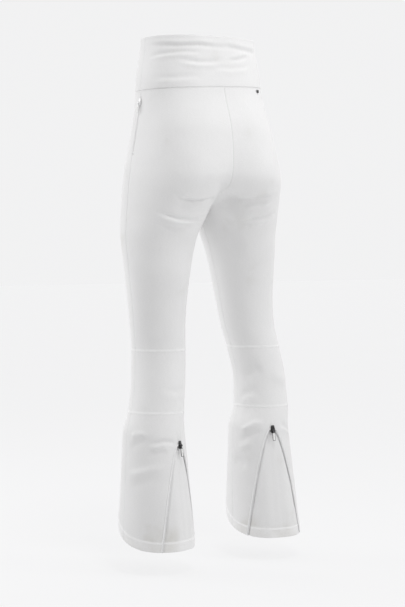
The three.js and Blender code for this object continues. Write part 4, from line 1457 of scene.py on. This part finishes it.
def finish_named(name):
    """One of the trousers' finishes, made the first time that it is asked for."""
    if name not in MADE_FINISHES:
        cloths, trims = bpy.context.scene.trouser_cloth, bpy.context.scene.trouser_trims
        makers = {
            "shell": (softshell_cloth, cloths.shell_color),
            "lining": (knit_lining, cloths.lining_color),
            "tape": (woven_tape, cloths.tape_color),
            "thread": (spun_thread, cloths.thread_and_highlight_color),
            # The bound edges take the paler thread colour: a painted highlight on the shell's folded edge.
            "piping": (highlighted_bound_edge, cloths.thread_and_highlight_color),
            "teeth": (lambda c: moulded("white_nylon", c, 0.42), trims.teeth_color),
            "pull": (lambda c: moulded("white_moulded_rubber", c, 0.55), trims.pull_color),
            "badge": (lambda c: moulded("black_moulded_rubber", c, 0.5), (0.03, 0.03, 0.032)),
            "slider": (lambda c: enamelled("black_enamel", c, 0.34, DARK_METAL), trims.slider_color),
            "snap": (lambda c: enamelled("white_enamel", c, 0.3, BRIGHT_METAL), trims.small_metal_color),
        }
        make, color = makers[name]
        MADE_FINISHES[name] = make(tuple(color))
    return MADE_FINISHES[name]


# ---- Operators ----
class TROUSERS_OT_leg_panels(bpy.types.Operator):
    """Makes the cut panels of both legs, with their folds"""

    bl_idname = "trousers.leg_panels"
    bl_label = "Leg Panels"

    def execute(self, context):
        for side in SIDES:
            for make in (upper_panels, knee_panels, shin_panel, calf_panel, vent_gusset):
                make(side, finish_named("shell"))
        return {"FINISHED"}


class TROUSERS_OT_waistband(bpy.types.Operator):
    """Makes the high waistband, its facing and its lapped end"""

    bl_idname = "trousers.waistband"
    bl_label = "Waistband"

    def execute(self, context):
        waistband(finish_named("shell"), finish_named("lining"))
        return {"FINISHED"}


class TROUSERS_OT_inner_cloth(bpy.types.Operator):
    """Makes hem facings, pocket bags, fly shield, hook loop and care label"""

    bl_idname = "trousers.inner_cloth"
    bl_label = "Inner Cloth"

    def execute(self, context):
        for side in SIDES:
            hem_facing(side, finish_named("lining"))
            pocket_bag(side, finish_named("lining"))
        fly_shield(finish_named("lining"))
        loop_and_label(finish_named("tape"))
        return {"FINISHED"}


class TROUSERS_OT_zip_strips(bpy.types.Operator):
    """Makes the tapes and teeth of all five zips"""

    bl_idname = "trousers.zip_strips"
    bl_label = "Zip Tapes and Teeth"

    def execute(self, context):
        zip_tapes(finish_named("tape"))
        nylon = finish_named("teeth")
        for side in SIDES:
            for way in (-1, 1):
                hem_coil(side, way, nylon)
            vent_piping(side, finish_named("piping"))
            closed_coil(f"pocket_{side}", side, lambda z: 0 * z, POCKET_TOP - 1, POCKET_BOTTOM + 1, nylon)
        closed_coil("fly", "left", lambda z: -middle_angle("left", z, 0.0), FLY_TOP, FLY_BOTTOM + 1, nylon)
        return {"FINISHED"}


class TROUSERS_OT_zip_hardware(bpy.types.Operator):
    """Makes the sliders and pulls of all five zips"""

    bl_idname = "trousers.zip_hardware"
    bl_label = "Sliders and Pulls"

    def execute(self, context):
        pull = finish_named("pull")
        zip_hardware(("hem_zip_left", "hem_zip_right"), finish_named("slider"), "black_metal", pull)
        zip_hardware(("pocket_left", "pocket_right", "fly"), finish_named("snap"), "white_metal", pull)
        return {"FINISHED"}


class TROUSERS_OT_snaps(bpy.types.Operator):
    """Makes the two press studs of the waistband"""

    bl_idname = "trousers.snaps"
    bl_label = "Snaps"

    def execute(self, context):
        snap_halves(finish_named("snap"))
        return {"FINISHED"}


class TROUSERS_OT_badge(bpy.types.Operator):
    """Makes the small plain badge under the waist seam"""

    bl_idname = "trousers.badge"
    bl_label = "Badge"

    def execute(self, context):
        badge_tab(finish_named("badge"))
        return {"FINISHED"}


class TROUSERS_OT_stitching(bpy.types.Operator):
    """Sews every line of topstitching"""

    bl_idname = "trousers.stitching"
    bl_label = "Stitching"

    def execute(self, context):
        thread = finish_named("thread")
        for side in SIDES:
            rods(f"stitching_{side}", seam_threads(side), thread, "zip_tape")
        rods("stitching_waist", waist_threads(), thread, "zip_tape")
        return {"FINISHED"}


CAMERA_AZIMUTH, CAMERA_PITCH = 148, 2.2  # degrees round from the front, and down
CAMERA_AWAY, CAMERA_HEIGHT, CAMERA_SHIFT = 3.55, -0.426, 0.0108  # metres
CAMERA_LENS = 97.86
FLOOR_ALBEDO = 0.15
# Each light is (name, place to the camera's right, towards it and up, height of its aim, share of
# the power, size), in metres.
LIGHTS = [
    ("top_light", (0.3, 0.9, 1.5), -0.7, 0.9, 0.5),
    ("key_light", (2.0, 0.6, 0.5), -0.5, 0.62, 0.9),
    ("far_light", (-2.2, -0.7, 0.2), -0.5, 1.15, 1.6),
]


def area_light(name, place, aim, power, size):
    light = bpy.data.lights.new(name, "AREA")
    light.energy, light.size, light.shape = power, size, "DISK"
    obj = bpy.data.objects.new(name, light)
    obj.location = place
    obj.rotation_euler = (Vector(aim) - Vector(place)).to_track_quat("-Z", "Y").to_euler()
    bpy.context.scene.collection.objects.link(obj)


class TROUSERS_OT_stage(bpy.types.Operator):
    """Sets the floor, the soft lights, the pale surroundings and the camera"""

    bl_idname = "trousers.stage"
    bl_label = "Stage"

    def execute(self, context):
        scene = context.scene
        settings = scene.trouser_stage
        select_none()
        bpy.ops.mesh.primitive_plane_add(size=40, location=(0, 0, settings.floor_height))
        floor = context.object
        floor.name = "floor"
        floor.data.materials.append(painted_floor(FLOOR_ALBEDO))

        azimuth, pitch = math.radians(CAMERA_AZIMUTH), math.radians(CAMERA_PITCH)
        back = Vector((math.sin(azimuth), -math.cos(azimuth), 0))
        right = Vector((math.cos(azimuth), math.sin(azimuth), 0))
        camera = bpy.data.cameras.new("camera")
        camera.lens = CAMERA_LENS
        obj = bpy.data.objects.new("camera", camera)
        scene.collection.objects.link(obj)
        obj.location = back * CAMERA_AWAY + Vector((0, 0, CAMERA_HEIGHT))
        aim = right * CAMERA_SHIFT + Vector((0, 0, CAMERA_HEIGHT - math.tan(pitch) * CAMERA_AWAY))
        obj.rotation_euler = (aim - obj.location).to_track_quat("-Z", "Y").to_euler()
        scene.camera = obj

        for name, (x, y, z), aim_height, share, size in LIGHTS:
            place = right * x + back * y + Vector((0, 0, z))
            area_light(name, place, (0, 0, aim_height), settings.key_power * share, size)

        world = bpy.data.worlds.new("pale_room")
        world.use_nodes = True
        tree = world.node_tree
        sky = tree.nodes["Background"]
        facing = tree.nodes.new("ShaderNodeVectorMath")
        facing.operation = "DOT_PRODUCT"
        facing.inputs[1].default_value = back
        shade = tree.nodes.new("ShaderNodeMapRange")
        for socket, value in ((1, -0.2), (2, 0.75), (3, 1.0), (4, settings.room_shade)):
            shade.inputs[socket].default_value = value
        where = tree.nodes.new("ShaderNodeTexCoord")
        tree.links.new(where.outputs["Generated"], facing.inputs[0])
        tree.links.new(facing.outputs["Value"], shade.inputs[0])
        tree.links.new(shade.outputs[0], sky.inputs["Strength"])
        sky.inputs["Color"].default_value = (*PALE, 1)
        scene.world = world
        scene.view_settings.view_transform = "Standard"
        return {"FINISHED"}


class TROUSERS_PT_parts(bpy.types.Panel):
    """Everything that the trousers are made of"""

    bl_idname = "TROUSERS_PT_parts"
    bl_label = "Flared Ski Trousers"
    bl_space_type = "VIEW_3D"
    bl_region_type = "UI"
    bl_category = "Trousers"

    def draw(self, context):
        layout = self.layout
        for name in SETTINGS:
            group = getattr(context.scene, name)
            for key in group.__annotations__:
                layout.prop(group, key)
        for operator in OPERATORS:
            layout.operator(operator.bl_idname)


OPERATORS = (
    TROUSERS_OT_leg_panels,
    TROUSERS_OT_waistband,
    TROUSERS_OT_inner_cloth,
    TROUSERS_OT_zip_strips,
    TROUSERS_OT_zip_hardware,
    TROUSERS_OT_snaps,
    TROUSERS_OT_badge,
    TROUSERS_OT_stitching,
    TROUSERS_OT_stage,
)
SETTINGS = {"trouser_cloth": ClothSettings, "trouser_trims": TrimSettings, "trouser_stage": StageSettings}


def register():
    for made in (*SETTINGS.values(), *OPERATORS, TROUSERS_PT_parts):
        bpy.utils.register_class(made)
    for name, settings in SETTINGS.items():
        setattr(bpy.types.Scene, name, bpy.props.PointerProperty(type=settings))


def unregister():
    for name in SETTINGS:
        delattr(bpy.types.Scene, name)
    for made in reversed((*SETTINGS.values(), *OPERATORS, TROUSERS_PT_parts)):
        bpy.utils.unregister_class(made)


def main():
    register()
    bpy.ops.trousers.leg_panels()
    bpy.ops.trousers.waistband()
    bpy.ops.trousers.inner_cloth()
    bpy.ops.trousers.zip_strips()
    bpy.ops.trousers.zip_hardware()
    bpy.ops.trousers.snaps()
    bpy.ops.trousers.badge()
    bpy.ops.trousers.stitching()
    bpy.ops.trousers.stage()


if __name__ == "__main__":
    main()
